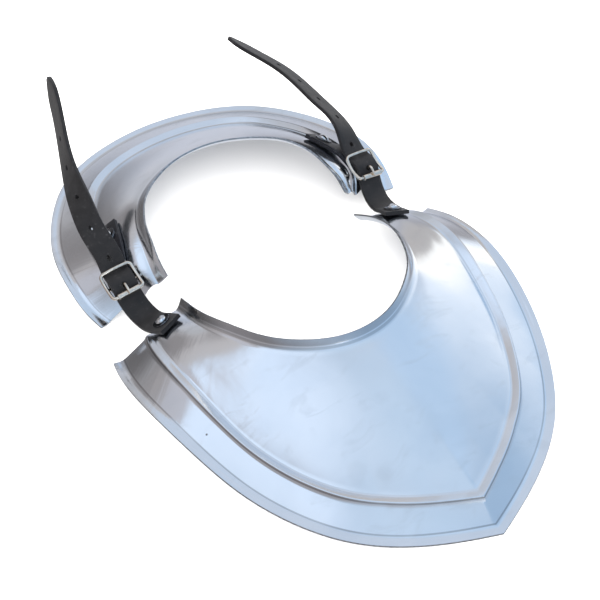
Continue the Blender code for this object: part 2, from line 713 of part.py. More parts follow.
FRONT_EDGE = half_line(FRONT_OUTER, -FRONT_REACH, FRONT_NECK_HEIGHT, True)
FRONT_RIM = half_line(FRONT_NECK, -FRONT_REACH, FRONT_NECK_HEIGHT, False)
BACK_EDGE = half_line(BACK_OUTER, BACK_REACH, BACK_NECK_HEIGHT, False)
BACK_RIM = half_line(BACK_NECK, BACK_REACH, BACK_NECK_HEIGHT, False)
BEND_COUNTS = (0, 2, 0, 1, 0, 2, 0)

front_grid = plate_grid(FRONT_EDGE, FRONT_RIM, FRONT_SECTION, FRONT_BORDER_RUN, PLATE_ROWS, BEND_COUNTS, 3)
back_grid = plate_grid(BACK_EDGE, BACK_RIM, BACK_SECTION, BACK_BORDER_RUN, PLATE_ROWS, BEND_COUNTS, 3)
front_plate = make_plate("front_plate", front_grid, STEEL)
back_plate = make_plate("back_plate", back_grid, STEEL)

front_sheet, back_sheet = sheet_bmesh(front_grid), sheet_bmesh(back_grid)
front_tree, back_tree = BVHTree.FromBMesh(front_sheet), BVHTree.FromBMesh(back_sheet)

for side in ("left", "right"):
    make_buckle(side)
    strap, front_place, front_normal = make_strap(side, front_tree)
    chape, back_place, back_normal, thick = make_chape(side, back_tree)
    for which, place, normal, half_stack, leather, plate, tree in (
            ("front", front_place, front_normal, STRAP_THICK / 2, strap, front_plate, front_tree),
            ("back", back_place, back_normal, thick, chape, back_plate, back_tree)):
        drill = rivet(side, which, place, normal, half_stack, tree)
        cut(leather, drill)
        cut(plate, drill)
front_sheet.free()
back_sheet.free()

# Bring the lowest point to z = 0 and the middle of the length to y = 0
bpy.context.view_layer.update()
graph = bpy.context.evaluated_depsgraph_get()
low, ends = 1.0, [1.0, -1.0]
for thing in BODY.objects:
    shown = thing.evaluated_get(graph)
    for vert in shown.data.vertices:
        low = min(low, vert.co.z)
        ends = [min(ends[0], vert.co.y), max(ends[1], vert.co.y)]
shift = Matrix.Translation((0, -(ends[0] + ends[1]) / 2, -low))
for group in (BODY, CUTTERS):
    for thing in group.objects:
        thing.data.transform(shift)
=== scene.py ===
"""Steel gorget dressed for the camera: polished plates, black leather straps, nickel buckles.

Metres, +Z up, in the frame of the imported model. Left and right are as seen from the front.
"""

import json
import math

import bmesh
import bpy
import numpy as np
from bpy.props import FloatProperty, FloatVectorProperty, IntProperty, PointerProperty
from mathutils import Matrix, Vector
from mathutils.bvhtree import BVHTree

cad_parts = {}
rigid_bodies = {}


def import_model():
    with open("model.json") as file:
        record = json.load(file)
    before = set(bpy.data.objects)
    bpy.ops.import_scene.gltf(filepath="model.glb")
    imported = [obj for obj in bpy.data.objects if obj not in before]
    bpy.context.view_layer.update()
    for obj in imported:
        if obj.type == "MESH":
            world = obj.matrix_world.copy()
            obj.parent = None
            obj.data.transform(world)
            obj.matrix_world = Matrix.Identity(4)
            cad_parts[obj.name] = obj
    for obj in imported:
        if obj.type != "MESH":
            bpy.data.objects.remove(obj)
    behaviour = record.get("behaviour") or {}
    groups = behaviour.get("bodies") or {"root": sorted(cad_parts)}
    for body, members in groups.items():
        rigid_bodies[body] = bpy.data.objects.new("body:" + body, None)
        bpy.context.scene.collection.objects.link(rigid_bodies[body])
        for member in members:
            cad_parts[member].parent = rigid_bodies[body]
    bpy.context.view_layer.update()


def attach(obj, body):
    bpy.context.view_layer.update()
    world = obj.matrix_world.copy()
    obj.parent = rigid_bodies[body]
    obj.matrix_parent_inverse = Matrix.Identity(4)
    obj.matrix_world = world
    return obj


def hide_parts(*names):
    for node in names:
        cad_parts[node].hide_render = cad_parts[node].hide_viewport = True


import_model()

bl_info = {
    "name": "Steel gorget",
    "version": (1, 0, 0),
    "blender": (4, 5, 0),
    "location": "View3D > Sidebar > Gorget",
    "description": "Builds a buckled two-plate steel gorget on its packed frame",
    "category": "Add Mesh",
}

# Overall size
HALF_WIDTH = 0.1383
FRONT_REACH = 0.2263
BACK_REACH = 0.2215
FRONT_NECK_HEIGHT = 0.0523
BACK_NECK_HEIGHT = 0.0460
SHEET = 0.0012
LIE = Vector((0.0, 0.002394, 0.000411))

# Section of both plates, from the outer edge to the neck
FLANGE_RUN = 0.0058
FLANGE_DROP = 0.0010
FRONT_BORDER_RUN = 0.0172
BACK_BORDER_RUN = 0.0182
RIDGE_HEIGHT = 0.0125
STEP_RUN = 0.0020
STEP_DROP = 0.0030
RISE_RUN = 0.0058
RISE_DROP = 0.0020
PANEL_CROWN = 0.0028
NECK_FLANGE_RUN = 0.0042
NECK_FLANGE_RISE = 0.0056
END_HOLLOW = 0.0065
END_FADE = 0.16
ROUND_WINDOW = 0.16
ROUND_DEPTH = 0.4
ROUND_ONSET = 0.4
# How far each corner of the section is cut back: tip, root, foot, ridge, crease, neck root, neck tip
CORNER_CUTS = (0, 0.0030, 0.0010, 0.0007, 0.0014, 0.0024, 0)
CORNER_BENDS = (0, 6, 3, 4, 5, 8, 0)
# Columns of a plate's faces from the outer edge to the crease, and from the neck root to the rim
OUTER_COLUMNS = sum(count + 1 for count in CORNER_BENDS[:5])
NECK_COLUMNS = CORNER_BENDS[5] + 2
RIM_ROUND = 0.00035

# Leather
STRAP_WIDTH = 0.0182
STRAP_THICK = 0.0028
CHAPE_WIDTH = 0.0170
CHAPE_THICK = 0.0015
LEATHER_ROUND = 0.0005
TAIL_TAPER = 0.018
TAIL_TIP = 0.20
HOLE_LENGTH = 0.0042
HOLE_WIDTH = 0.0028
HOLE_PITCH = 0.0241
HOLE_COUNT = 5
# A punch's radius over the hole's width, and the share of that at the punch's narrow end
HOLE_SPREAD = 0.68
HOLE_TAPER = 0.02
SLOT_WIDTH = 0.0046
SLOT_LENGTH = 0.0125
STRAP_END = 0.0098
STRAP_SAG = (-0.0008, -0.0028, -0.0066)
FRONT_TURN = 0.34
BACK_TURN = 0.30
CHAPE_END = 0.0108
# Chape from its rivet to the fold: across, along and up from the buckle's bar, and the extra lean
CHAPE_COURSE = ((-0.0030, 0.0170, -0.0026, 0.06), (-0.0010, 0.0100, -0.0022, 0.0),
                (0.0, 0.0042, -0.0009, 0.0))
TONGUE_AT = 0.0036
# Rows of the leathers' middle lines as fitted and as laid, and crosswise cuts in their blanks
STRAP_ROWS = 48
STRAP_PATH = 260
STRAP_CUTS = 240
CHAPE_ROWS = 22
CHAPE_PATH = 200
CHAPE_CUTS = 180
# Rows over which a lift at the plate fades out
FADE_ROWS = 6

# Buckle
WIRE = 0.0012
FRAME_WIDTH = 0.0230
FRAME_LENGTH = 0.0200
FRAME_CORNER = 0.0026
FRAME_DIP = 0.0055
FRAME_BOW = 0.0020
FAR_ARCH = 0.0013
ROLLER_WALL = 0.0006
ROLLER_LENGTH = 0.0162
TONGUE_WIRE = 0.0009
# Each buckle: inwards from HALF_WIDTH, along, up, then pitch, roll and yaw in degrees
BUCKLE_AT = {"left": (0.0350, 0.0556, 0.0309, 17.0, 5.0, 1.0),
             "right": (0.0350, 0.0581, 0.0311, 22.0, 8.0, 2.0)}

# Rivets
SHANK = 0.0016
DOME_RADIUS = 0.0039
DOME_HEIGHT = 0.0024
TAIL_RADIUS = 0.0026
TAIL_HEIGHT = 0.0007
WASHER_RADIUS = 0.0066
WASHER_THICK = 0.0009
TURN_STEPS = 40
FRONT_RIVET = (HALF_WIDTH - 0.0425, 0.0132)
BACK_RIVET = (HALF_WIDTH - 0.0474, 0.0970)

GAP = 0.0003
TAIL_GAP = 0.0011
WASHER_GAP = 1.3 * GAP
CHAPE_HALF = CHAPE_THICK + GAP / 2
# Room for the strap below the roller and over the tongue's ring, and its extra lean at the roller
ROLLER_ROOM = 4.6 * GAP
RING_ROOM = 4.5 * GAP
ROLLER_LEAN = 0.08
STRAP_FLAT = 1.3 * WASHER_RADIUS

# Outer edges and neck rims of the right half, in shares of HALF_WIDTH, of the reach and of the neck height
FRONT_OUTER = (
    (0.967, -0.077, 0.040), (0.993, 0.009, 0.185), (1.000, 0.115, 0.306), (0.981, 0.243, 0.382),
    (0.937, 0.384, 0.356), (0.859, 0.539, 0.245), (0.746, 0.676, 0.161), (0.578, 0.806, 0.103),
    (0.376, 0.897, 0.062), (0.159, 0.962, 0.038), (0.000, 1.000, 0.028))
FRONT_NECK = (
    (0.529, -0.131, 0.357), (0.547, -0.044, 0.593), (0.544, 0.026, 0.736), (0.499, 0.129, 0.885),
    (0.415, 0.231, 0.956), (0.299, 0.300, 0.975), (0.159, 0.350, 0.994), (0.000, 0.368, 1.000))
BACK_OUTER = (
    (0.910, 0.224, 0.045), (0.936, 0.280, 0.120), (0.950, 0.370, 0.250), (0.941, 0.456, 0.287),
    (0.917, 0.537, 0.263), (0.873, 0.621, 0.228), (0.759, 0.754, 0.172), (0.607, 0.869, 0.104),
    (0.434, 0.941, 0.058), (0.217, 0.986, 0.034), (0.000, 1.000, 0.030))
BACK_NECK = (
    (0.542, 0.196, 0.637), (0.541, 0.251, 0.783), (0.524, 0.307, 0.891), (0.502, 0.370, 0.961),
    (0.463, 0.423, 0.993), (0.424, 0.461, 1.000), (0.351, 0.508, 0.985), (0.246, 0.553, 0.967),
    (0.123, 0.585, 0.952), (0.000, 0.595, 0.946))

# Share of the run from the end to the middle, then the share of the border run and of the ridge height
FRONT_SECTION = (
    (0.00, 0.97, 1.10), (0.12, 1.00, 0.98), (0.35, 1.00, 0.80), (0.60, 1.00, 0.74),
    (0.80, 0.98, 0.86), (0.92, 0.84, 1.02), (1.00, 0.70, 1.18))
BACK_SECTION = ((0.00, 1.00, 1.00), (0.30, 1.00, 1.00), (0.60, 1.02, 0.98), (1.00, 1.04, 0.90))

# Edge tables, reach, height, whether the outer edge comes to a point, section table and border run
PLATES = {"front": (FRONT_OUTER, FRONT_NECK, -FRONT_REACH, FRONT_NECK_HEIGHT, True,
                    FRONT_SECTION, FRONT_BORDER_RUN),
          "back": (BACK_OUTER, BACK_NECK, BACK_REACH, BACK_NECK_HEIGHT, False,
                   BACK_SECTION, BACK_BORDER_RUN)}

# Strap behind the buckle: across, along and up from the middle of its buckle, and the lean in degrees
TAILS = {
    "left": ((-0.0008, 0.0183, 0.0060, 15), (0.0003, 0.0360, 0.0160, 23), (-0.0011, 0.0537, 0.0259, 33),
             (-0.0045, 0.0733, 0.0341, 55), (-0.0116, 0.0973, 0.0425, 68), (-0.0209, 0.1237, 0.0524, 71),
             (-0.0283, 0.1490, 0.0633, 75)),
    "right": ((0.0011, 0.0308, 0.0129, 30), (0.0011, 0.0568, 0.0168, 32), (-0.0004, 0.0848, 0.0192, 33),
              (-0.0038, 0.1101, 0.0212, 32), (-0.0128, 0.1333, 0.0248, 32), (-0.0225, 0.1558, 0.0293, 35))}

# Painted shade across each plate, in its UV map, darkening its bends (flange root, step, neck root, neck
# flange): from, to, softness, and its depth at the right and left ends
FRONT_PAINTED_SHADE = ((0.048, 0.066, 0.006, 0.40, 0.45), (0.112, 0.1215, 0.003, 0.36, 0.60),
                 (0.940, 0.984, 0.012, 0.12, 0.36), (0.988, 1.010, 0.004, 0.08, 0.50))
BACK_PAINTED_SHADE = ((0.048, 0.066, 0.006, 0.30, 0.30), (0.112, 0.1215, 0.003, 0.30, 0.30),
                (0.960, 0.984, 0.010, 0.10, 0.10))
# Marks on the front plate: place, radius and depth
MARKS = (((-0.1167, -0.0759, 0.0209), 0.0010, 0.90), ((-0.0545, -0.1490, 0.0175), 0.0085, 0.05),
         ((-0.0410, -0.1582, 0.0175), 0.0090, 0.07))

# Surround that the polish mirrors: direction, cosines where a patch starts and is full, colour
FAR_SIDE = (0.38, 0.36, 0.37)
PATCHES = (
    ((0.37, -0.59, 0.72), 0.060, 0.998, (0.64, 0.79, 0.97)),
    ((0.00, 0.10, -1.00), 0.300, 0.850, (0.80, 0.81, 0.84)),
    ((-0.38, 0.14, 0.92), 0.850, 0.985, (0.86, 0.98, 1.15)),
    ((0.91, 0.19, 0.37), 0.822, 0.910, (1.03, 1.10, 1.20)),
    ((0.66, -0.67, 0.33), 0.515, 0.980, (0.42, 0.57, 0.76)),
    ((0.45, 0.56, 0.70), 0.850, 0.872, (0.64, 0.72, 0.84)),
    ((-0.20, 0.95, 0.15), 0.600, 0.900, (0.68, 0.66, 0.67)),
    ((-0.70, 0.45, 0.56), 0.893, 0.909, (0.43, 0.40, 0.40)),
    ((-0.20, 0.75, 0.63), 0.940, 0.958, (0.58, 0.55, 0.55)),
    ((0.28, 0.88, 0.39), 0.957, 0.998, (0.50, 0.50, 0.52)),
    ((-0.23, 0.86, 0.46), 0.945, 0.994, (0.30, 0.28, 0.28)),
    ((0.85, 0.45, 0.27), 0.962, 0.985, (1.38, 1.33, 1.26)),
    ((0.72, 0.63, 0.30), 0.962, 0.976, (0.58, 0.54, 0.52)),
    ((0.63, 0.01, 0.78), 0.949, 0.987, (0.58, 0.74, 0.94)),
    ((0.24, 0.89, -0.40), 0.665, 0.998, (0.66, 0.68, 0.76)),
    ((-0.44, 0.83, -0.35), 0.632, 0.956, (0.16, 0.15, 0.15)),
    ((-0.62, 0.38, 0.69), 0.950, 0.974, (0.58, 0.57, 0.61)),
    ((-0.11, -0.96, 0.26), 0.990, 0.995, (3.20, 3.20, 3.20)))
# Noise that frays the patches' edges, as a cosine
RIPPLE_SCALE = 3.2
RIPPLE_DETAIL = 2.5
RIPPLE_DEPTH = 0.06

# Key light
KEY_AT = (-1.0, -1.4, 1.7)
KEY_SIZE = (0.5, 1.6)
KEY_COLOUR = (1.0, 0.99, 0.97)

# Camera, solved from the photograph's own perspective
CAMERA_AT = Vector((-0.2873, -0.4355, 0.5967)) + LIE
CAMERA_RIGHT = Vector((0.8299, -0.5579, 0.0))
CAMERA_UP = Vector((0.4207, 0.6258, 0.6567))
FOCAL_SHARE = 1120 / 600
SENSOR = 36.0


# Curves
def natural_spline(points):
    """A cubic through the points over their chord length; returns a function of 0 to 1."""
    pts = np.asarray(points, float)
    knots = np.concatenate(([0.0], np.cumsum(np.linalg.norm(np.diff(pts[:, :3], axis=0), axis=1))))
    steps = np.diff(knots)
    count = len(pts)
    system = np.eye(count)
    right = np.zeros_like(pts)
    for i in range(1, count - 1):
        system[i, i - 1] = steps[i - 1]
        system[i, i] = 2 * (steps[i - 1] + steps[i])
        system[i, i + 1] = steps[i]
        right[i] = 6 * ((pts[i + 1] - pts[i]) / steps[i] - (pts[i] - pts[i - 1]) / steps[i - 1])
    bend = np.linalg.solve(system, right)

    def at(share):
        where = share * knots[-1]
        i = int(min(max(np.searchsorted(knots, where) - 1, 0), count - 2))
        a, b, h = knots[i + 1] - where, where - knots[i], steps[i]
        return (bend[i] * a ** 3 + bend[i + 1] * b ** 3) / (6 * h) + \
            (pts[i] / h - bend[i] * h / 6) * a + (pts[i + 1] / h - bend[i + 1] * h / 6) * b
    return at


def half_line(table, reach, height, pointed):
    """The right half of an edge as a function of 0 at the end to 1 in the middle."""
    rows = [(a * HALF_WIDTH, b * reach, c * height) for a, b, c in table]
    if pointed:
        return natural_spline(rows)
    whole = natural_spline(rows + [(-x, y, z) for x, y, z in reversed(rows[:-1])])
    return lambda share: whole(share / 2)


def rounded(corners, sizes, counts):
    """The corners as a run of points, each cut back by its size and bent in its count of steps."""
    run = []
    for i, corner in enumerate(corners):
        if counts[i] == 0:
            run.append(corner)
            continue
        before, after = corners[i - 1] - corner, corners[i + 1] - corner
        start = corner + before * min(sizes[i] / np.linalg.norm(before), 0.45)
        stop = corner + after * min(sizes[i] / np.linalg.norm(after), 0.45)
        for k in range(counts[i] + 1):
            t = k / counts[i]
            run.append((1 - t) ** 2 * start + 2 * t * (1 - t) * corner + t * t * stop)
    return run


def resample(control, count):
    """Equal steps along a smooth curve through control rows; returns the rows and the length."""
    line = natural_spline(control)
    fine = np.array([line(k / 800) for k in range(801)])
    run = np.concatenate(([0.0], np.cumsum(np.linalg.norm(np.diff(fine[:, :3], axis=0), axis=1))))
    wanted = np.linspace(0, run[-1], count)
    return np.stack([np.interp(wanted, run, fine[:, k]) for k in range(fine.shape[1])], 1), run[-1]


# Plates
def section_at(outer, neck, section, border_run, share):
    """Plan start, plan direction, width and run of (away, height) points at a share of the half."""
    out, rim = outer(share), neck(share)
    ahead, behind = outer(min(share + 0.01, 1.0)), outer(max(share - 0.01, 0.0))
    course = (ahead - behind)[:2]
    across = (rim - out)[:2]
    width = float(np.linalg.norm(across))
    across = across / width
    slant = abs(course[0] * across[1] - course[1] * across[0]) / np.linalg.norm(course)
    border = border_run * np.interp(share, section[:, 0], section[:, 1])
    ridge = RIDGE_HEIGHT * np.interp(share, section[:, 0], section[:, 2])
    root = out[2] - FLANGE_DROP
    stops = np.cumsum([0.0, FLANGE_RUN, border, STEP_RUN, RISE_RUN]) / slant
    corners = [np.array(pair) for pair in (
        (stops[0], out[2]), (stops[1], root), (stops[2], root + ridge - STEP_DROP),
        (stops[3], root + ridge), (stops[4], root + ridge - RISE_DROP),
        (width - NECK_FLANGE_RUN, rim[2] - NECK_FLANGE_RISE), (width, rim[2]))]
    return out[:2], across, width, rounded(corners, CORNER_CUTS, CORNER_BENDS)


def plate_grid(edges, reach, height, pointed, section, border_run, rows, panel_steps):
    """Points of a plate's upper face, row by row from the right end to the left end."""
    outer, neck = half_line(edges[0], reach, height, pointed), half_line(edges[1], reach, height, False)
    section = np.asarray(section, float)
    first = OUTER_COLUMNS
    sign = -1.0 if outer(1.0)[1] < 0 else 1.0
    half = []
    for j in range(rows + 1):
        share = j / rows
        start, across, width, run = section_at(outer, neck, section, border_run, share)
        hollow = sign * END_HOLLOW * max(0.0, 1 - share / END_FADE) ** 2
        line = []
        for away, up in run:
            back = math.sin(math.pi * min(max(away / width, 0), 1))
            place = start + across * away
            line.append((place[0], place[1] + hollow * back, up))
        half.append(np.array(line))
    half = np.array(half)
    whole = np.concatenate((half, half[-2::-1] * (-1, 1, 1)))
    # Inside the crease the panel's lines run rounder than the crease itself
    crease, root = whole[:, first - 1], whole[:, first]
    window = int(round(ROUND_WINDOW * rows))
    padded = np.concatenate((np.repeat(crease[:1], window, 0), crease, np.repeat(crease[-1:], window, 0)))
    weights = np.array([window + 1 - abs(k) for k in range(-window, window + 1)], float)
    soft = sum(w * padded[k:k + len(crease)] for k, w in enumerate(weights)) / weights.sum()
    middle = 1 - np.abs(np.linspace(-1, 1, len(crease)))
    soft = crease + (soft - crease) * np.clip(middle / ROUND_ONSET, 0, 1)[:, None]
    panel = []
    for k in range(1, panel_steps):
        inside = k / panel_steps
        blend = min(inside / ROUND_DEPTH, 1.0)
        blend = blend * blend * (3 - 2 * blend)
        line = (crease + (soft - crease) * blend) * (1 - inside) + root * inside
        line[:, 2] += PANEL_CROWN * 4 * inside * (1 - inside)
        panel.append(line)
    return np.concatenate((whole[:, :first], np.stack(panel, 1), whole[:, first:]), axis=1)


def face_up(made):
    """Turn the sheet's faces upwards where they look down."""
    made.normal_update()
    if sum(f.normal.z * f.calc_area() for f in made.faces) < 0:
        bmesh.ops.reverse_faces(made, faces=made.faces[:])
        made.normal_update()


def across_share(i, columns):
    """A column's place from the outer edge (0) to the neck rim (1), one hundredth a column in the bends."""
    return float(np.interp(i, (0, OUTER_COLUMNS - 1, columns - NECK_COLUMNS, columns - 1),
                           (0, (OUTER_COLUMNS - 1) / 100, 1 - (NECK_COLUMNS - 1) / 100, 1)))


def sheet_bmesh(grid):
    """A flat grid of the same count, its points moved onto the plate, with a UV map along and across."""
    rows, columns = grid.shape[0], grid.shape[1]
    made = bmesh.new()
    bmesh.ops.create_grid(made, x_segments=rows - 1, y_segments=columns - 1, size=0.5)
    layer = made.loops.layers.uv.new("sheet")
    for face in made.faces:
        for loop in face.loops:
            i = int(round((loop.vert.co.y + 0.5) * (columns - 1)))
            loop[layer].uv = (loop.vert.co.x + 0.5, across_share(i, columns))
    for vert in made.verts:
        j = int(round((vert.co.x + 0.5) * (rows - 1)))
        i = int(round((vert.co.y + 0.5) * (columns - 1)))
        vert.co = Vector(grid[j, i])
    face_up(made)
    return made


def seat(tree, x, y):
    """Point and upward normal of a plate under a plan point."""
    place, normal, _, _ = tree.ray_cast(Vector((x, y, 0.2)), Vector((0, 0, -1)))
    if place is None:
        return None, None
    return place, normal if normal.z > 0 else -normal


# Objects and pieces
def linked(name, data):
    """A new object on the data, linked to the scene."""
    thing = bpy.data.objects.new(name, data)
    bpy.context.scene.collection.objects.link(thing)
    return thing


def as_mesh(made, name):
    """The bmesh as a mesh; the bmesh is freed."""
    shape = bpy.data.meshes.new(name)
    made.to_mesh(shape)
    made.free()
    return shape


def as_bmesh(thing):
    """The object's shape with its modifiers as a bmesh."""
    bpy.context.view_layer.update()
    shape = bpy.data.meshes.new_from_object(thing.evaluated_get(bpy.context.evaluated_depsgraph_get()))
    made = bmesh.new()
    made.from_mesh(shape)
    bpy.data.meshes.remove(shape)
    return made


def piece(made, name, finish, node, smooth=40):
    """The bmesh as a finished piece that stands for a node of the frame."""
    bmesh.ops.translate(made, verts=made.verts[:], vec=LIE)
    shape = as_mesh(made, name)
    shape.materials.append(finish)
    shape.polygons.foreach_set("use_smooth", [True] * len(shape.polygons))
    shape.set_sharp_from_angle(angle=math.radians(smooth))
    thing = linked(name, shape)
    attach(thing, "root")
    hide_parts(node)
    return thing


def side_piece(made, side, name, finish, node, smooth=40):
    """A piece made for the right-hand side, mirrored where it belongs on the left."""
    if side == "left":
        bmesh.ops.scale(made, vec=(-1, 1, 1), verts=made.verts[:])
        bmesh.ops.reverse_faces(made, faces=made.faces[:])
    piece(made, name + "_" + side, finish, node + "_" + side, smooth)


def punched(made, punches):
    """The bmesh with each punch taken out of it."""
    body = linked("blank", as_mesh(made, "blank"))
    tools = bpy.data.collections.new("punches")
    bpy.context.scene.collection.children.link(tools)
    for punch in punches:
        tools.objects.link(bpy.data.objects.new("punch", as_mesh(punch, "punch")))
    step = body.modifiers.new("punch", "BOOLEAN")
    step.operation = "DIFFERENCE"
    step.solver = "EXACT"
    step.operand_type = "COLLECTION"
    step.collection = tools
    result = as_bmesh(body)
    for thing in [body, *tools.objects]:
        old = thing.data
        bpy.data.objects.remove(thing, do_unlink=True)
        bpy.data.meshes.remove(old)
    bpy.data.collections.remove(tools)
    return result


def punch_at(run, radius, depth, taper=1.0, stretch=(1, 1, 1)):
    """A round punch through a flat strip at a run along it, its lower end narrowed by the taper."""
    made = bmesh.new()
    bmesh.ops.create_cone(made, cap_ends=True, segments=32, radius1=radius * taper, radius2=radius,
                          depth=2 * depth)
    bmesh.ops.scale(made, vec=stretch, verts=made.verts[:])
    bmesh.ops.translate(made, vec=(run, 0, 0), verts=made.verts[:])
    return made


def spun(profile, matrix):
    """A solid of turning about the local z axis from a profile of (radius, height) points."""
    made = bmesh.new()
    verts = [made.verts.new((r, 0, z)) for r, z in profile]
    edges = [made.edges.new(pair) for pair in zip(verts, verts[1:])]
    if profile[0][0] > 1e-9:
        edges.append(made.edges.new((verts[-1], verts[0])))
    bmesh.ops.spin(made, geom=verts + edges, cent=(0, 0, 0), axis=(0, 0, 1), dvec=(0, 0, 0),
                   angle=2 * math.pi, steps=TURN_STEPS, use_merge=True, use_duplicate=False)
    bmesh.ops.remove_doubles(made, verts=made.verts[:], dist=1e-6)
    bmesh.ops.recalc_face_normals(made, faces=made.faces[:])
    bmesh.ops.transform(made, matrix=matrix, verts=made.verts[:])
    return made


def wire(points, radius, closed=False, last=1.0):
    """A round wire along points from a bevelled curve; last is its end's share of the radius."""
    curve = bpy.data.curves.new("wire", "CURVE")
    curve.dimensions = "3D"
    curve.bevel_depth = radius
    curve.bevel_resolution = 6
    curve.render_resolution_u = 0
    curve.use_fill_caps = not closed
    line = curve.splines.new("POLY")
    line.points.add(len(points) - 1)
    for spot, place in zip(line.points, points):
        spot.co = (*place, 1.0)
    line.points[-1].radius = last
    line.use_cyclic_u = closed
    holder = linked("wire", curve)
    made = as_bmesh(holder)
    bpy.data.objects.remove(holder, do_unlink=True)
    bpy.data.curves.remove(curve)
    bmesh.ops.remove_doubles(made, verts=made.verts[:], dist=1e-6)
    bmesh.ops.recalc_face_normals(made, faces=made.faces[:])
    return made


def blank(length, width, thick, steps):
    """A flat strip of leather along x, its long edges rounded, ready to be punched and bent."""
    made = bmesh.new()
    bmesh.ops.create_cube(made, size=1.0)
    bmesh.ops.scale(made, vec=(length, width, thick), verts=made.verts[:])
    bmesh.ops.translate(made, vec=(length / 2, 0, 0), verts=made.verts[:])

    def long_edges():
        return [e for e in made.edges if abs(e.verts[0].co.x - e.verts[1].co.x) > length / 2]
    bmesh.ops.bevel(made, geom=long_edges(), offset=LEATHER_ROUND, offset_type="OFFSET",
                    affect="EDGES", segments=3, profile=0.5, material=-1)
    for share in (-0.25, 0.0, 0.25):
        bmesh.ops.bisect_plane(made, geom=made.verts[:] + made.edges[:] + made.faces[:],
                               plane_co=(0, width * share, 0), plane_no=(0, 1, 0))
    bmesh.ops.subdivide_edges(made, edges=long_edges(), cuts=steps - 1, use_grid_fill=True)
    return made


def bent(made, path, sides, normals, widen):
    """The flat strip laid along a path; its flat place in metres is kept as its UV map."""
    run = np.concatenate(([0.0], np.cumsum([(b - a).length for a, b in zip(path, path[1:])])))
    layer = made.loops.layers.uv.new("leather")
    for face in made.faces:
        for loop in face.loops:
            loop[layer].uv = loop.vert.co.xy
    for vert in made.verts:
        x, y, z = vert.co
        i = int(min(max(np.searchsorted(run, x) - 1, 0), len(path) - 2))
        t = min(max((x - run[i]) / (run[i + 1] - run[i]), 0.0), 1.0)
        side = sides[i].lerp(sides[i + 1], t).normalized()
        up = normals[i].lerp(normals[i + 1], t).normalized()
        vert.co = path[i].lerp(path[i + 1], t) + side * y * widen(x) + up * z
    bmesh.ops.recalc_face_normals(made, faces=made.faces[:])
    return made


# Materials
class Nodes:
    """Short calls to add and join the nodes of a tree."""

    def __init__(self, tree):
        self.tree = tree

    def add(self, kind, **settings):
        node = self.tree.nodes.new("ShaderNode" + kind)
        for key, value in settings.items():
            setattr(node, key, value)
        return node

    def join(self, a, b):
        self.tree.links.new(a, b)

    def fill(self, socket, value):
        """Give a socket a value or a link."""
        if isinstance(value, (float, int)):
            socket.default_value = value
        elif isinstance(value, tuple):
            socket.default_value = (*value, 1.0)
        else:
            self.join(value, socket)

    def noise(self, source, scale, detail=2.0, rough=0.5, warp=0.0):
        node = self.add("TexNoise")
        for key, value in (("Vector", source), ("Scale", scale), ("Detail", detail),
                           ("Roughness", rough), ("Distortion", warp)):
            self.fill(node.inputs[key], value)
        return node.outputs["Fac"]

    def span(self, source, low, high, to_low=0.0, to_high=1.0):
        node = self.add("MapRange", interpolation_type="SMOOTHSTEP")
        for key, value in (("Value", source), ("From Min", low), ("From Max", high),
                           ("To Min", to_low), ("To Max", to_high)):
            self.fill(node.inputs[key], value)
        return node.outputs["Result"]

    def blend(self, share, one, two):
        node = self.add("Mix", data_type="RGBA")
        for key, value in ((0, share), (6, one), (7, two)):
            self.fill(node.inputs[key], value)
        return node.outputs[2]

    def plus(self, one, two, operation="ADD"):
        node = self.add("Math", operation=operation)
        self.fill(node.inputs[0], one)
        self.fill(node.inputs[1], two)
        return node.outputs[0]

    def times(self, one, two):
        return self.plus(one, two, "MULTIPLY")


class Finish(Nodes):
    """A Principled material."""

    def __init__(self, name, **sockets):
        self.made = bpy.data.materials.new(name)
        self.made.use_nodes = True
        super().__init__(self.made.node_tree)
        self.shader = self.tree.nodes["Principled BSDF"]
        for key, value in sockets.items():
            self.shader.inputs[key.replace("_", " ")].default_value = value
        self.place = self.add("TexCoord").outputs["Object"]

    def stretched(self, source, scale, turn=0.0):
        node = self.add("Mapping")
        node.inputs["Scale"].default_value = scale
        node.inputs["Rotation"].default_value = (0, 0, turn)
        self.join(source, node.inputs["Vector"])
        return node.outputs["Vector"]

    def relief(self, source, strength, distance, under=None):
        node = self.add("Bump")
        node.inputs["Strength"].default_value = strength
        node.inputs["Distance"].default_value = distance
        self.join(source, node.inputs["Height"])
        if under is not None:
            self.join(under, node.inputs["Normal"])
        return node.outputs["Normal"]

    def finished(self, colour, rough, normal=None):
        """Join the last nodes to the shader; returns the material."""
        for socket, source in (("Base Color", colour), ("Roughness", rough), ("Normal", normal)):
            if source is not None:
                self.join(source, self.shader.inputs[socket])
        return self.made


def scaled(colour, *shares):
    """The colour times one share, or times one for each of its channels."""
    return tuple(c * k for c, k in zip(colour, shares * 3 if len(shares) == 1 else shares))


def stocked(name, maker, *values):
    """The named material, made on its first use."""
    return bpy.data.materials.get(name) or maker(name, *values)


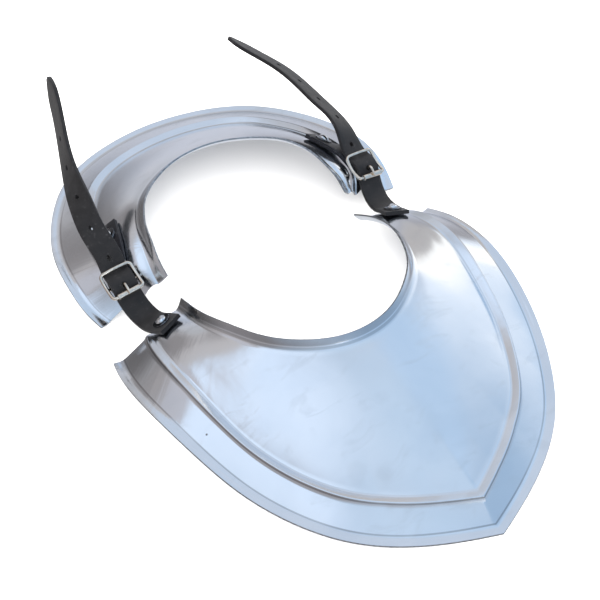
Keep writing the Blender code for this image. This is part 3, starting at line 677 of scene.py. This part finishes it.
def polished_steel(name, painted_shade, marks):
    """Hand-polished sheet: hammer waves, faint smears, polishing lines, painted shade along its bends,
    marks, streaked ends.
    """
    f = Finish(name, Metallic=1.0)
    sizes = bpy.context.scene.gorget_finish
    colour = tuple(sizes.steel_colour)
    chart = f.add("UVMap", uv_map="sheet").outputs["UV"]
    parts = f.add("SeparateXYZ")
    f.join(chart, parts.inputs["Vector"])
    along, across = parts.outputs["X"], parts.outputs["Y"]
    clouds = f.noise(f.place, 16, 3, 0.55, 0.4)
    smears = f.noise(f.stretched(f.place, (1, 2.2, 1), 0.6), 34, 4, 0.6, 0.8)
    dull = f.span(smears, 0.52, 0.72)
    tint = f.blend(f.span(clouds, 0.35, 0.7), colour, scaled(colour, 0.92, 0.94, 0.96))
    tint = f.blend(f.times(dull, 0.30), tint, scaled(colour, 0.82))
    dark = scaled(colour, 0.17, 0.15, 0.145)
    # Painted shade: dark bands along the bends of the section, mottled by the clouds
    for low, high, soft, right, left in painted_shade:
        band = f.times(f.span(across, low, low + soft), f.span(across, high - soft, high, 1.0, 0.0))
        band = f.times(band, f.span(along, 0.25, 0.60, right, left))
        tint = f.blend(f.times(band, f.span(clouds, 0.2, 0.8, 0.7, 1.15)), tint, dark)
    for place, radius, depth in marks:
        away = f.add("VectorMath", operation="DISTANCE")
        f.join(f.place, away.inputs[0])
        away.inputs[1].default_value = place
        frayed = f.plus(away.outputs["Value"], f.span(smears, 0.3, 0.7, 0.0, radius * 0.5))
        tint = f.blend(f.span(frayed, radius * 0.6, radius * 1.2, depth, 0.0), tint, dark)
    lines = f.noise(f.stretched(f.place, (1, 0.05, 0.3), 0.35), 1400, 2, 0.6)
    rough = f.plus(f.span(dull, 0, 1, sizes.steel_roughness, sizes.steel_roughness + 0.07),
                   f.span(lines, 0.3, 0.8, 0.0, 0.04))
    normal = f.relief(f.noise(f.place, 26, 3, 0.45, 0.3), 0.34, 0.0010)
    normal = f.relief(lines, 0.14, 0.00004, normal)
    ends = f.plus(f.span(along, 0.80, 0.93), f.span(along, 0.05, 0.14, 1.0, 0.0))
    streaks = f.noise(f.stretched(chart, (110, 3, 1)), 1.0, 3, 0.6, 0.3)
    normal = f.relief(f.times(streaks, ends), 0.5, 0.0003, normal)
    return f.finished(tint, rough, normal)


def sheared_steel(name):
    """The sheet's cut edges: duller and darker than its faces."""
    f = Finish(name, Metallic=1.0)
    marks = f.noise(f.place, 700, 2, 0.6)
    return f.finished(f.blend(f.span(marks, 0.35, 0.65), (0.20, 0.21, 0.23), (0.42, 0.44, 0.47)),
                      f.span(marks, 0.3, 0.7, 0.42, 0.28), f.relief(marks, 0.3, 0.00005))


def rubbed_steel(name, pit, crown):
    """Rivets and washers: bright on the crown, a little darker in the small pits."""
    f = Finish(name, Metallic=1.0)
    pits = f.noise(f.place, 900, 3, 0.6)
    return f.finished(f.blend(f.span(pits, 0.35, 0.65), pit, crown),
                      f.span(pits, 0.3, 0.7, 0.26, 0.14), f.relief(pits, 0.25, 0.00008))


def satin_nickel(name):
    """Buckle wire: warm nickel plate with a few darker spots."""
    f = Finish(name, Metallic=1.0)
    colour = tuple(bpy.context.scene.gorget_finish.nickel_colour)
    spots = f.noise(f.place, 420, 3, 0.6)
    return f.finished(f.blend(f.span(spots, 0.45, 0.75), colour, scaled(colour, 0.72)),
                      f.span(spots, 0.3, 0.8, 0.15, 0.30), f.relief(spots, 0.15, 0.00006))


def strap_leather(name, scuffs, shade_tint):
    """Dyed cowhide: fine grain, a slight mottle, shallow creases and pale scuffs."""
    f = Finish(name, Specular_IOR_Level=0.30, Sheen_Roughness=0.5, Sheen_Weight=0.08)
    # shade_tint scales the leather's colour per channel; the chape's darker, bluer copy is painted shade
    colour = scaled(bpy.context.scene.gorget_finish.leather_colour, *shade_tint)
    mottle = f.noise(f.place, 150, 3, 0.6)
    grain = f.noise(f.place, 1500, 3, 0.65, 0.3)
    cells = f.add("TexVoronoi", feature="DISTANCE_TO_EDGE")
    cells.inputs["Scale"].default_value = 900
    f.join(f.place, cells.inputs["Vector"])
    creases = f.span(cells.outputs["Distance"], 0.02, 0.25)
    tint = f.blend(f.span(mottle, 0.35, 0.7), scaled(colour, 0.82), scaled(colour, 1.18))
    wear = f.span(f.noise(f.stretched(f.place, (1, 1, 1), 0.3), 320, 5, 0.7, 0.6), 0.60, 0.70)
    tint = f.blend(f.times(wear, scuffs), tint, (0.30, 0.31, 0.34))
    rough = f.plus(f.span(mottle, 0.3, 0.7, 0.42, 0.56), f.times(wear, 0.15))
    normal = f.relief(grain, 0.25, 0.00006, f.relief(creases, 0.30, 0.00010))
    return f.finished(tint, rough, normal)


def pale_floor(name, colour):
    f = Finish(name, Roughness=0.9, Specular_IOR_Level=0.1)
    return f.finished(f.blend(f.noise(f.place, 3, 2), colour, scaled(colour, 0.985)), None)


# Shapes of the leather and the buckles
def upright_at(place, normal):
    """A matrix with z along the normal and y near the way to the back."""
    up = normal.normalized()
    side = Vector((0, 1, 0)).cross(up).normalized()
    front = up.cross(side).normalized()
    made = Matrix((side, front, up)).transposed().to_4x4()
    made.translation = place
    return made


def buckle_matrix(side):
    """Local x outwards across the buckle, y to the back, z up."""
    inset, along, height, pitch, roll, yaw = BUCKLE_AT[side]
    turn = Matrix.Rotation(math.radians(yaw), 3, "Z") @ Matrix.Rotation(math.radians(roll), 3, "Y")
    made = (turn @ Matrix.Rotation(math.radians(pitch), 3, "X")).to_4x4()
    made.translation = (HALF_WIDTH - inset, along, height)
    return made


def strip_frames(rows):
    """Places, side directions and normals along rows of place and lean."""
    places = [Vector(row[:3]) for row in rows]
    sides, normals = [], []
    for i, row in enumerate(rows):
        course = (places[min(i + 1, len(rows) - 1)] - places[max(i - 1, 0)]).normalized()
        flat = course.cross(Vector((0, 0, 1))).normalized()
        side = Matrix.Rotation(row[3], 3, course) @ flat
        sides.append(side)
        normals.append(side.cross(course).normalized())
    return places, sides, normals


def flat_rows(tree, spot, course, reaches, lift, width):
    """Rows on a straight line through a rivet, the strip lying on the highest ground under it."""
    course = course.normalized()
    across = Vector((course.y, -course.x, 0.0))
    ground = []
    for i in range(7):
        for j in range(7):
            reach = reaches[0] + (reaches[-1] - reaches[0]) * i / 6
            plan = Vector((*spot, 0.0)) + course * reach + across * width * (j / 6 - 0.5)
            place, _ = seat(tree, plan.x, plan.y)
            if place is not None:
                ground.append(place)
    points = np.array(ground)
    level = np.column_stack((points[:, :2], np.ones(len(points))))
    slopes = np.linalg.lstsq(level, points[:, 2], rcond=None)[0]
    normal = Vector((-slopes[0], -slopes[1], 1.0)).normalized()
    rise = max(normal.dot(place) for place in ground) + lift
    along = (course - normal * course.dot(normal)).normalized()
    flat = along.cross(Vector((0, 0, 1))).normalized()
    lean = math.atan2(normal.dot(flat), normal.dot(flat.cross(along)))
    middle = Vector((*spot, (rise - normal.x * spot[0] - normal.y * spot[1]) / normal.z))
    return [(*(middle + along * reach), lean) for reach in reaches]


def lifted(rows, tree, clear, width, flat_share):
    """Rows raised clear of a plate, those of the flat at the start all by the same."""
    places, sides, normals = strip_frames(rows)
    lift = []
    for place, side in zip(places, sides):
        need = 0.0
        for u in (-0.5, -0.25, 0.0, 0.25, 0.5):
            spot = place + side * width * u
            ground, normal = seat(tree, spot.x, spot.y)
            if ground is not None:
                need = max(need, ground.z + clear / max(normal.z, 0.3) - spot.z)
        lift.append(need)
    out = rows.copy()
    flat = int(math.ceil(flat_share * (len(rows) - 1))) + 1
    most = max(lift[:flat])
    for i in range(len(rows)):
        fade = 1.0 if i < flat else max(0.0, 1 - (i - flat + 1) / FADE_ROWS)
        out[i, 2] += max(most * fade, max(lift[max(i - 1, 0):i + 2]) if i >= flat else 0.0)
    return out


def strap_rows(side, front_tree):
    """Control rows of a strap's middle line: place and lean in radians, right-hand side."""
    course = Vector((-FRONT_TURN, -1.0, 0.0))
    rows = flat_rows(front_tree, FRONT_RIVET, -course,
                     (-STRAP_END, -STRAP_END / 2, 0.0, STRAP_FLAT), GAP + STRAP_THICK / 2, STRAP_WIDTH)
    buckle = buckle_matrix(side)
    roll = math.radians(BUCKLE_AT[side][4])
    half = FRAME_LENGTH / 2
    under = -(WIRE + GAP + ROLLER_WALL + GAP + STRAP_THICK / 2 + ROLLER_ROOM)
    over = -FRAME_DIP + WIRE + 2 * TONGUE_WIRE + RING_ROOM + STRAP_THICK / 2
    far = -(WIRE + GAP + STRAP_THICK / 2)
    near = buckle @ Vector((0, -half, under))
    rows.append((*(Vector(rows[-1][:3]).lerp(near, 0.5) + Vector(STRAP_SAG)), roll))
    rows.append((*near, roll + ROLLER_LEAN))
    rows.append((*(buckle @ Vector((0, 0, over))), roll))
    rows.append((*(buckle @ Vector((0, half, far))), roll))
    for x, y, z, lean in TAILS[side]:
        rows.append((*(buckle.translation + Vector((x, y, z))), math.radians(lean)))
    return rows


def strap_line(side, tree):
    """Rows of a strap's middle line, clear of the front plate."""
    rows, length = resample(strap_rows(side, tree), STRAP_ROWS)
    flat_share = (STRAP_END + STRAP_FLAT) / length
    return lifted(rows, tree, GAP + STRAP_THICK / 2, STRAP_WIDTH, flat_share)


def chape_line(side, tree):
    """Rows of a chape's middle line, from its end to the fold, clear of the back plate."""
    buckle = buckle_matrix(side)
    roll = math.radians(BUCKLE_AT[side][4])
    bar = Vector((0, 0, -FRAME_DIP))
    rows = flat_rows(tree, BACK_RIVET, Vector((BACK_TURN, -1.0, 0.0)),
                     (-CHAPE_END, -CHAPE_END / 2, 0.0, WASHER_RADIUS), GAP + CHAPE_HALF, CHAPE_WIDTH)
    rows += [(*(buckle @ (bar + Vector(away))), -roll - lean) for *away, lean in CHAPE_COURSE]
    rows, length = resample(rows, CHAPE_ROWS)
    flat_share = (CHAPE_END + WASHER_RADIUS + 0.0005) / length
    return lifted(rows, tree, GAP + CHAPE_HALF, CHAPE_WIDTH, flat_share)


def nearest(places, spot):
    return min(range(len(places)), key=lambda i: (places[i].xy - Vector(spot)).length)


def frame_loop(steps):
    """Points of the buckle's outer wire in its own frame."""
    half_w, half_l, r = FRAME_WIDTH / 2, FRAME_LENGTH / 2, FRAME_CORNER
    corners = ((half_w - r, half_l - r, 0), (-half_w + r, half_l - r, 90),
               (-half_w + r, -half_l + r, 180), (half_w - r, -half_l + r, 270))
    plan = []
    for cx, cy, start in corners:
        for k in range(steps + 1):
            a = math.radians(start + 90 * k / steps)
            plan.append((cx + r * math.cos(a), cy + r * math.sin(a)))
    out = []
    for (x, y), (x2, y2) in zip(plan, plan[1:] + plan[:1]):
        pieces = max(1, int(math.hypot(x2 - x, y2 - y) / 0.0012))
        for k in range(pieces):
            px, py = x + (x2 - x) * k / pieces, y + (y2 - y) * k / pieces
            z = -FRAME_BOW * (1 - (py / half_l) ** 2)
            if py > 0:
                z += FAR_ARCH * (1 - (px / half_w) ** 2) * (py / half_l)
            out.append(Vector((px, py, z)))
    return out


def bar_line():
    """Points of the middle bar, dropped between the side wires to leave room for the leather."""
    half, low, high = FRAME_WIDTH / 2, -FRAME_DIP, -FRAME_BOW
    right = [(half, high), (half - WIRE / 2, low * 0.55 + high * 0.45),
             (half - 1.4 * WIRE, low * 0.88 + high * 0.12), (half - 2.3 * WIRE, low)]
    return [Vector((x, WIRE / 10, z)) for x, z in right + [(-x, z) for x, z in right[::-1]]]


def tongue_line():
    """Points of the tongue's wire: a ring round the middle bar, then over the hole to the roller."""
    ring = WIRE + GAP + TONGUE_WIRE
    rest = WIRE + GAP + ROLLER_WALL + GAP + TONGUE_WIRE
    points = [Vector((0, ring * math.cos(a), -FRAME_DIP + ring * math.sin(a)))
              for a in (math.radians(d) for d in range(-60, 161, 20))]
    top, near = -FRAME_DIP + ring, -FRAME_LENGTH / 2
    points += [Vector((0, y, z)) for y, z in (
        (-0.0029, top - 0.0002), (-0.0034, top + 0.0014), (-0.0038, top + 0.0042),
        (-0.0048, rest + 0.0004), (-0.0066, rest + 0.0007), (near + 0.0012, rest + 0.0003),
        (near - 0.0008, rest), (near - 0.0024, rest - 0.0008))]
    return points


def joined(first, second):
    """The second bmesh's shape added to the first."""
    shape = as_mesh(second, "part")
    first.from_mesh(shape)
    bpy.data.meshes.remove(shape)
    return first


# Where the pieces sit, worked out once from the fine plates
class Fit:
    """The plates' fine grids, the trees that the leather lies on, and the leather's lines."""

    def __init__(self, rows, steps):
        self.grids, self.trees = {}, {}
        for name, (outer, neck, *rest) in PLATES.items():
            self.grids[name] = plate_grid((outer, neck), *rest, rows, steps)
            sheet = sheet_bmesh(self.grids[name])
            self.trees[name] = BVHTree.FromBMesh(sheet)
            sheet.free()
        self.straps, self.chapes = {}, {}
        for side in ("left", "right"):
            self.straps[side] = resample(strap_line(side, self.trees["front"]), STRAP_PATH)
            self.chapes[side] = chape_line(side, self.trees["back"])

    def rivet_spot(self, which, side):
        """Place, normal and half the leather's stack at a rivet, on the right-hand side."""
        rows, spot, half = self.chapes[side], BACK_RIVET, CHAPE_HALF
        if which == "front":
            rows, spot, half = self.straps[side][0], FRONT_RIVET, STRAP_THICK / 2
        places, _, normals = strip_frames(rows)
        k = nearest(places, spot)
        return places[k], normals[k], half


fit = None


def fitted():
    global fit
    if fit is None:
        sizes = bpy.context.scene.gorget_sheet
        fit = Fit(sizes.rows, sizes.panel_steps)
    return fit


def make_plate(name, which, painted_shade, marks):
    finish = polished_steel(name + "_sheet", painted_shade, marks)
    thing = piece(sheet_bmesh(fitted().grids[which]), name, finish, which + "_plate")
    thing.data.materials.append(stocked("sheared_edge", sheared_steel))
    step = thing.modifiers.new("sheet", "SOLIDIFY")
    step.material_offset_rim = 1
    step.thickness = SHEET
    step.offset = -1.0
    step.use_even_offset = True
    step = thing.modifiers.new("rounded edges", "BEVEL")
    step.width = RIM_ROUND
    step.segments = 2
    step.limit_method = "ANGLE"
    step.angle_limit = math.radians(60)
    step.harden_normals = False


def make_strap(side):
    data = fitted()
    rows, length = data.straps[side]
    places, sides, normals = strip_frames(rows)
    made = blank(length, STRAP_WIDTH, STRAP_THICK, STRAP_CUTS)
    inward = buckle_matrix(side).inverted()
    depth = [(inward @ place).y for place in places]
    start = next(i for i in range(len(depth)) if depth[i] > -TONGUE_AT)
    step = length / (len(rows) - 1)
    hole_run = (start - (depth[start] + TONGUE_AT) / (depth[start] - depth[start - 1])) * step
    punches = [punch_at(hole_run + k * HOLE_PITCH, HOLE_WIDTH * HOLE_SPREAD, STRAP_THICK, HOLE_TAPER,
                        (HOLE_LENGTH / HOLE_WIDTH, 1, 1)) for k in range(HOLE_COUNT + 1)]
    punches.append(punch_at(nearest(places, FRONT_RIVET) * step, SHANK + GAP, STRAP_THICK))
    made = punched(made, punches)

    def widen(x):
        share = min(1.0, max(length - x, 0.0) / TAIL_TAPER)
        return TAIL_TIP + (1 - TAIL_TIP) * math.sin(share * math.pi / 2) ** 0.8
    bent(made, places, sides, normals, widen)
    finish = stocked("strap_hide", strap_leather, 0.08, (1, 1, 1))
    side_piece(made, side, "leather_strap", finish, "strap")


def make_chape(side):
    data = fitted()
    buckle = buckle_matrix(side)
    places, sides, normals = strip_frames(data.chapes[side])
    layer = (CHAPE_THICK + GAP) / 2
    bar = Vector((0, 0, -FRAME_DIP))
    round_out = WIRE + GAP + CHAPE_THICK / 2
    upper, lower = [], []
    for i in range(len(places)):
        near = max(0.0, 1 - (len(places) - 1 - i) / 4)
        spread = layer + (round_out - layer) * near * near * 0.8
        upper.append(places[i] + normals[i] * spread)
        lower.append(places[i] - normals[i] * spread)
    turned = buckle.to_3x3()
    centre, ahead, up = buckle @ bar, turned @ Vector((0, -1, 0)), turned @ Vector((0, 0, 1))
    fold = [centre + (ahead * math.cos(a) + up * math.sin(a)) * round_out
            for a in (math.radians(d) for d in range(70, -71, -20))]
    across = turned @ Vector((1, 0, 0))
    rough_sides = sides + [-across] * len(fold) + sides[::-1]
    rough_sides = [s if s.dot(across) > 0 else -s for s in rough_sides]
    control = [(*p, *s) for p, s in zip(upper + fold + lower[::-1], rough_sides)]
    rows, length = resample(control, CHAPE_PATH)
    path = [Vector(row[:3]) for row in rows]
    turns = [Vector(row[3:6]).normalized() for row in rows]
    ups = []
    for i in range(len(path)):
        course = (path[min(i + 1, len(path) - 1)] - path[max(i - 1, 0)]).normalized()
        ups.append(turns[i].cross(course).normalized())
    made = blank(length, CHAPE_WIDTH, CHAPE_THICK, CHAPE_CUTS)
    step = length / (len(path) - 1)
    front = min(range(len(path)), key=lambda i: (path[i] - (centre + ahead * round_out)).length) * step
    half = len(path) // 2
    holes = nearest(path[:half], BACK_RIVET), half + nearest(path[half:], BACK_RIVET)
    punches = [punch_at(front, 0.5, CHAPE_THICK, 1.0, (SLOT_LENGTH, SLOT_WIDTH, 1))]
    punches += [punch_at(k * step, SHANK + GAP, CHAPE_THICK) for k in holes]
    made = bent(punched(made, punches), path, turns, ups, lambda x: 1.0)
    # The chape's leather is a darker, bluer copy of the strap's: painted shade under the buckle
    finish = stocked("chape_hide_painted_shade", strap_leather, 0.45, (0.7, 0.8, 1.2))
    side_piece(made, side, "folded_chape", finish, "chape")


def make_buckle(side):
    base = buckle_matrix(side)
    finish = stocked("satin_nickel", satin_nickel)
    made = joined(wire([base @ p for p in frame_loop(8)], WIRE, True),
                  wire([base @ p for p in bar_line()], WIRE * 0.93))
    side_piece(made, side, "nickel_frame", finish, "buckle_frame", 60)
    inner, half = WIRE + GAP, ROLLER_LENGTH / 2
    outer, soft = inner + ROLLER_WALL, 0.0002
    ring = [(inner, -half), (outer - soft, -half), (outer, -half + soft), (outer, half - soft),
            (outer - soft, half), (inner, half)]
    turn = base @ Matrix.Translation((0, -FRAME_LENGTH / 2, 0)) @ Matrix.Rotation(math.pi / 2, 4, "Y")
    side_piece(spun(ring, turn), side, "nickel_roller", finish, "roller")
    rows, _ = resample([tuple(p) for p in tongue_line()], 90)
    made = wire([base @ Vector(row) for row in rows], TONGUE_WIRE, False, 0.7)
    side_piece(made, side, "nickel_tongue", finish, "tongue", 60)


def make_rivet(which, side):
    data = fitted()
    place, normal, half_stack = data.rivet_spot(which, side)
    base = upright_at(place, normal)
    under = data.trees[which].ray_cast(place, -normal)[3]
    bottom = -under - SHEET - TAIL_GAP
    low = half_stack + WASHER_GAP
    head = low + WASHER_THICK + GAP
    dome = [(DOME_RADIUS * math.cos(a), head + DOME_HEIGHT * math.sin(a))
            for a in (math.radians(d) for d in range(0, 90, 9))]
    soft = 0.0003
    profile = [(0, bottom - TAIL_HEIGHT), (TAIL_RADIUS - soft, bottom - TAIL_HEIGHT),
               (TAIL_RADIUS, bottom - TAIL_HEIGHT + soft), (TAIL_RADIUS, bottom), (SHANK, bottom),
               (SHANK, head)] + dome + [(0, head + DOME_HEIGHT)]
    finish = stocked("bright_rivet", rubbed_steel, (0.62, 0.64, 0.67), (0.90, 0.92, 0.94))
    side_piece(spun(profile, base), side, "domed_rivet_" + which, finish, which + "_rivet")
    inner, top = SHANK + GAP, low + WASHER_THICK
    ring = [(inner, low), (WASHER_RADIUS - soft, low), (WASHER_RADIUS, low + soft),
            (WASHER_RADIUS, top - soft), (WASHER_RADIUS - soft, top),
            (WASHER_RADIUS - 0.0010, top - 0.0002), (inner, top - 0.0003)]
    # Near-black washer steel: a painted dark reflection of the leather around it
    finish = stocked("washer_painted_dark_reflection", rubbed_steel, (0.07, 0.075, 0.085), (0.24, 0.25, 0.27))
    side_piece(spun(ring, base), side, "ring_washer_" + which, finish, which + "_washer")


# Stage
def sky(sizes):
    """An even white surround for the light, and a softly patched pale blue one for the reflections."""
    world = bpy.data.worlds.new("surround")
    bpy.context.scene.world = world
    world.use_nodes = True
    n = Nodes(world.node_tree)
    towards = n.add("TexCoord").outputs["Generated"]
    ripple = n.times(n.noise(towards, RIPPLE_SCALE, RIPPLE_DETAIL), RIPPLE_DEPTH)
    shade = FAR_SIDE
    for direction, start, full, colour in PATCHES:
        facing = n.add("VectorMath", operation="DOT_PRODUCT")
        n.join(towards, facing.inputs[0])
        facing.inputs[1].default_value = Vector(direction).normalized()
        wavy = n.plus(facing.outputs["Value"], ripple)
        shade = n.blend(n.span(wavy, start + RIPPLE_DEPTH / 2, full + RIPPLE_DEPTH / 2), shade, colour)
    mirrored, even, both = n.tree.nodes["Background"], n.add("Background"), n.add("MixShader")
    n.join(shade, mirrored.inputs["Color"])
    mirrored.inputs["Strength"].default_value = sizes.sky_strength
    even.inputs["Color"].default_value = (*sizes.light_colour, 1.0)
    even.inputs["Strength"].default_value = sizes.light_strength
    n.join(n.add("LightPath").outputs["Is Diffuse Ray"], both.inputs[0])
    n.join(mirrored.outputs[0], both.inputs[1])
    n.join(even.outputs[0], both.inputs[2])
    n.join(both.outputs[0], n.tree.nodes["World Output"].inputs["Surface"])


def key_light(power):
    """A soft light panel that faces the gorget and isn't mirrored in it."""
    data = bpy.data.lights.new("key", "AREA")
    data.shape = "RECTANGLE"
    data.size, data.size_y = KEY_SIZE
    data.energy = power
    data.color = KEY_COLOUR
    key = linked("key", data)
    key.location = KEY_AT
    key.rotation_euler = (-Vector(KEY_AT)).to_track_quat("-Z", "Y").to_euler()
    key.visible_glossy = False


def make_stage():
    scene = bpy.context.scene
    sizes = scene.gorget_stage
    made = bmesh.new()
    bmesh.ops.create_grid(made, x_segments=1, y_segments=1, size=sizes.floor_size / 2)
    floor = linked("floor", as_mesh(made, "floor"))
    floor.data.materials.append(pale_floor("pale_floor", tuple(sizes.floor_colour)))
    floor.visible_glossy = False
    sky(sizes)
    key_light(sizes.key_power)
    lens = bpy.data.cameras.new("camera")
    lens.sensor_width = SENSOR
    lens.lens = SENSOR * FOCAL_SHARE
    lens.clip_start, lens.clip_end = 0.01, 50.0
    camera = linked("camera", lens)
    right, up = CAMERA_RIGHT.normalized(), CAMERA_UP.normalized()
    back = right.cross(up).normalized()
    camera.matrix_world = Matrix.Translation(CAMERA_AT) @ Matrix((right, up, back)).transposed().to_4x4()
    scene.camera = camera
    scene.view_settings.view_transform = "Standard"
    scene.view_settings.look = "None"


# Sizes and colours a user may change
class GorgetSheet(bpy.types.PropertyGroup):
    rows: IntProperty(name="Rows", description="Rows of faces along half of each plate",
                      default=130, min=40, max=240)
    panel_steps: IntProperty(name="Panel steps", description="Faces across the raised panel",
                             default=34, min=8, max=80)


class GorgetFinish(bpy.types.PropertyGroup):
    steel_colour: FloatVectorProperty(name="Steel", description="Colour of the polished plates",
                                      subtype="COLOR", size=3, min=0, max=1, default=(0.83, 0.86, 0.90))
    steel_roughness: FloatProperty(name="Steel roughness", description="Blur of the plates' reflections",
                                   default=0.15, min=0.02, max=0.6, subtype="FACTOR")
    nickel_colour: FloatVectorProperty(name="Nickel", description="Colour of the buckles",
                                       subtype="COLOR", size=3, min=0, max=1, default=(0.86, 0.77, 0.66))
    leather_colour: FloatVectorProperty(name="Leather", description="Colour of the dyed straps",
                                        subtype="COLOR", size=3, min=0, max=1,
                                        default=(0.0070, 0.0066, 0.0078))


class GorgetStage(bpy.types.PropertyGroup):
    floor_size: FloatProperty(name="Floor", description="Width of the floor", unit="LENGTH",
                              default=12.0, min=1.0, max=40.0)
    floor_colour: FloatVectorProperty(name="Floor colour", description="Colour of the floor",
                                      subtype="COLOR", size=3, min=0, max=1, default=(0.93, 0.93, 0.93))
    light_colour: FloatVectorProperty(name="Light colour", description="Colour of the even light",
                                      subtype="COLOR", size=3, min=0, max=1, default=(1.0, 0.99, 0.98))
    light_strength: FloatProperty(name="Even light", description="Brightness of the even light",
                                  default=3.00, min=0.0, max=5.0)
    sky_strength: FloatProperty(name="Reflected surround",
                                description="Brightness of the mirrored surround",
                                default=1.0, min=0.0, max=5.0)
    key_power: FloatProperty(name="Key light", description="Power of the soft key light", unit="POWER",
                             default=9.0, min=0.0, max=200.0)


class GORGET_OT_plates(bpy.types.Operator):
    """Form the front and the back plate"""
    bl_idname = "gorget.plates"
    bl_label = "Plates"

    def execute(self, context):
        make_plate("bib_plate", "front", FRONT_PAINTED_SHADE, MARKS)
        make_plate("collar_plate", "back", BACK_PAINTED_SHADE, ())
        return {"FINISHED"}


class GORGET_OT_straps(bpy.types.Operator):
    """Cut, punch and bend the two straps"""
    bl_idname = "gorget.straps"
    bl_label = "Straps"

    def execute(self, context):
        for side in ("left", "right"):
            make_strap(side)
        return {"FINISHED"}


class GORGET_OT_chapes(bpy.types.Operator):
    """Fold the two chapes round their buckles"""
    bl_idname = "gorget.chapes"
    bl_label = "Chapes"

    def execute(self, context):
        for side in ("left", "right"):
            make_chape(side)
        return {"FINISHED"}


class GORGET_OT_buckles(bpy.types.Operator):
    """Bend the frames, rollers and tongues"""
    bl_idname = "gorget.buckles"
    bl_label = "Buckles"

    def execute(self, context):
        for side in ("left", "right"):
            make_buckle(side)
        return {"FINISHED"}


class GORGET_OT_rivets(bpy.types.Operator):
    """Set the domed rivets on their washers"""
    bl_idname = "gorget.rivets"
    bl_label = "Rivets"

    def execute(self, context):
        for which in ("front", "back"):
            for side in ("left", "right"):
                make_rivet(which, side)
        return {"FINISHED"}


class GORGET_OT_stage(bpy.types.Operator):
    """Lay the floor, light it and place the camera"""
    bl_idname = "gorget.stage"
    bl_label = "Stage"

    def execute(self, context):
        make_stage()
        return {"FINISHED"}


OPERATORS = (GORGET_OT_plates, GORGET_OT_straps, GORGET_OT_chapes, GORGET_OT_buckles, GORGET_OT_rivets,
             GORGET_OT_stage)


class GORGET_PT_panel(bpy.types.Panel):
    bl_label = "Gorget"
    bl_idname = "GORGET_PT_panel"
    bl_space_type = "VIEW_3D"
    bl_region_type = "UI"
    bl_category = "Gorget"

    def draw(self, context):
        for operator in OPERATORS:
            self.layout.operator(operator.bl_idname)
        for group in ("gorget_sheet", "gorget_finish", "gorget_stage"):
            data = getattr(context.scene, group)
            for key in data.__annotations__:
                self.layout.prop(data, key)


CLASSES = (GorgetSheet, GorgetFinish, GorgetStage, *OPERATORS, GORGET_PT_panel)


def register():
    for kind in CLASSES:
        bpy.utils.register_class(kind)
    bpy.types.Scene.gorget_sheet = PointerProperty(type=GorgetSheet)
    bpy.types.Scene.gorget_finish = PointerProperty(type=GorgetFinish)
    bpy.types.Scene.gorget_stage = PointerProperty(type=GorgetStage)


def unregister():
    del bpy.types.Scene.gorget_sheet, bpy.types.Scene.gorget_finish, bpy.types.Scene.gorget_stage
    for kind in reversed(CLASSES):
        bpy.utils.unregister_class(kind)


def main():
    register()
    for item in [o for o in bpy.context.scene.objects if o.type in ("LIGHT", "CAMERA")]:
        bpy.data.objects.remove(item, do_unlink=True)
    bpy.ops.gorget.plates()
    bpy.ops.gorget.straps()
    bpy.ops.gorget.chapes()
    bpy.ops.gorget.buckles()
    bpy.ops.gorget.rivets()
    bpy.ops.gorget.stage()


if __name__ == "__main__":
    main()
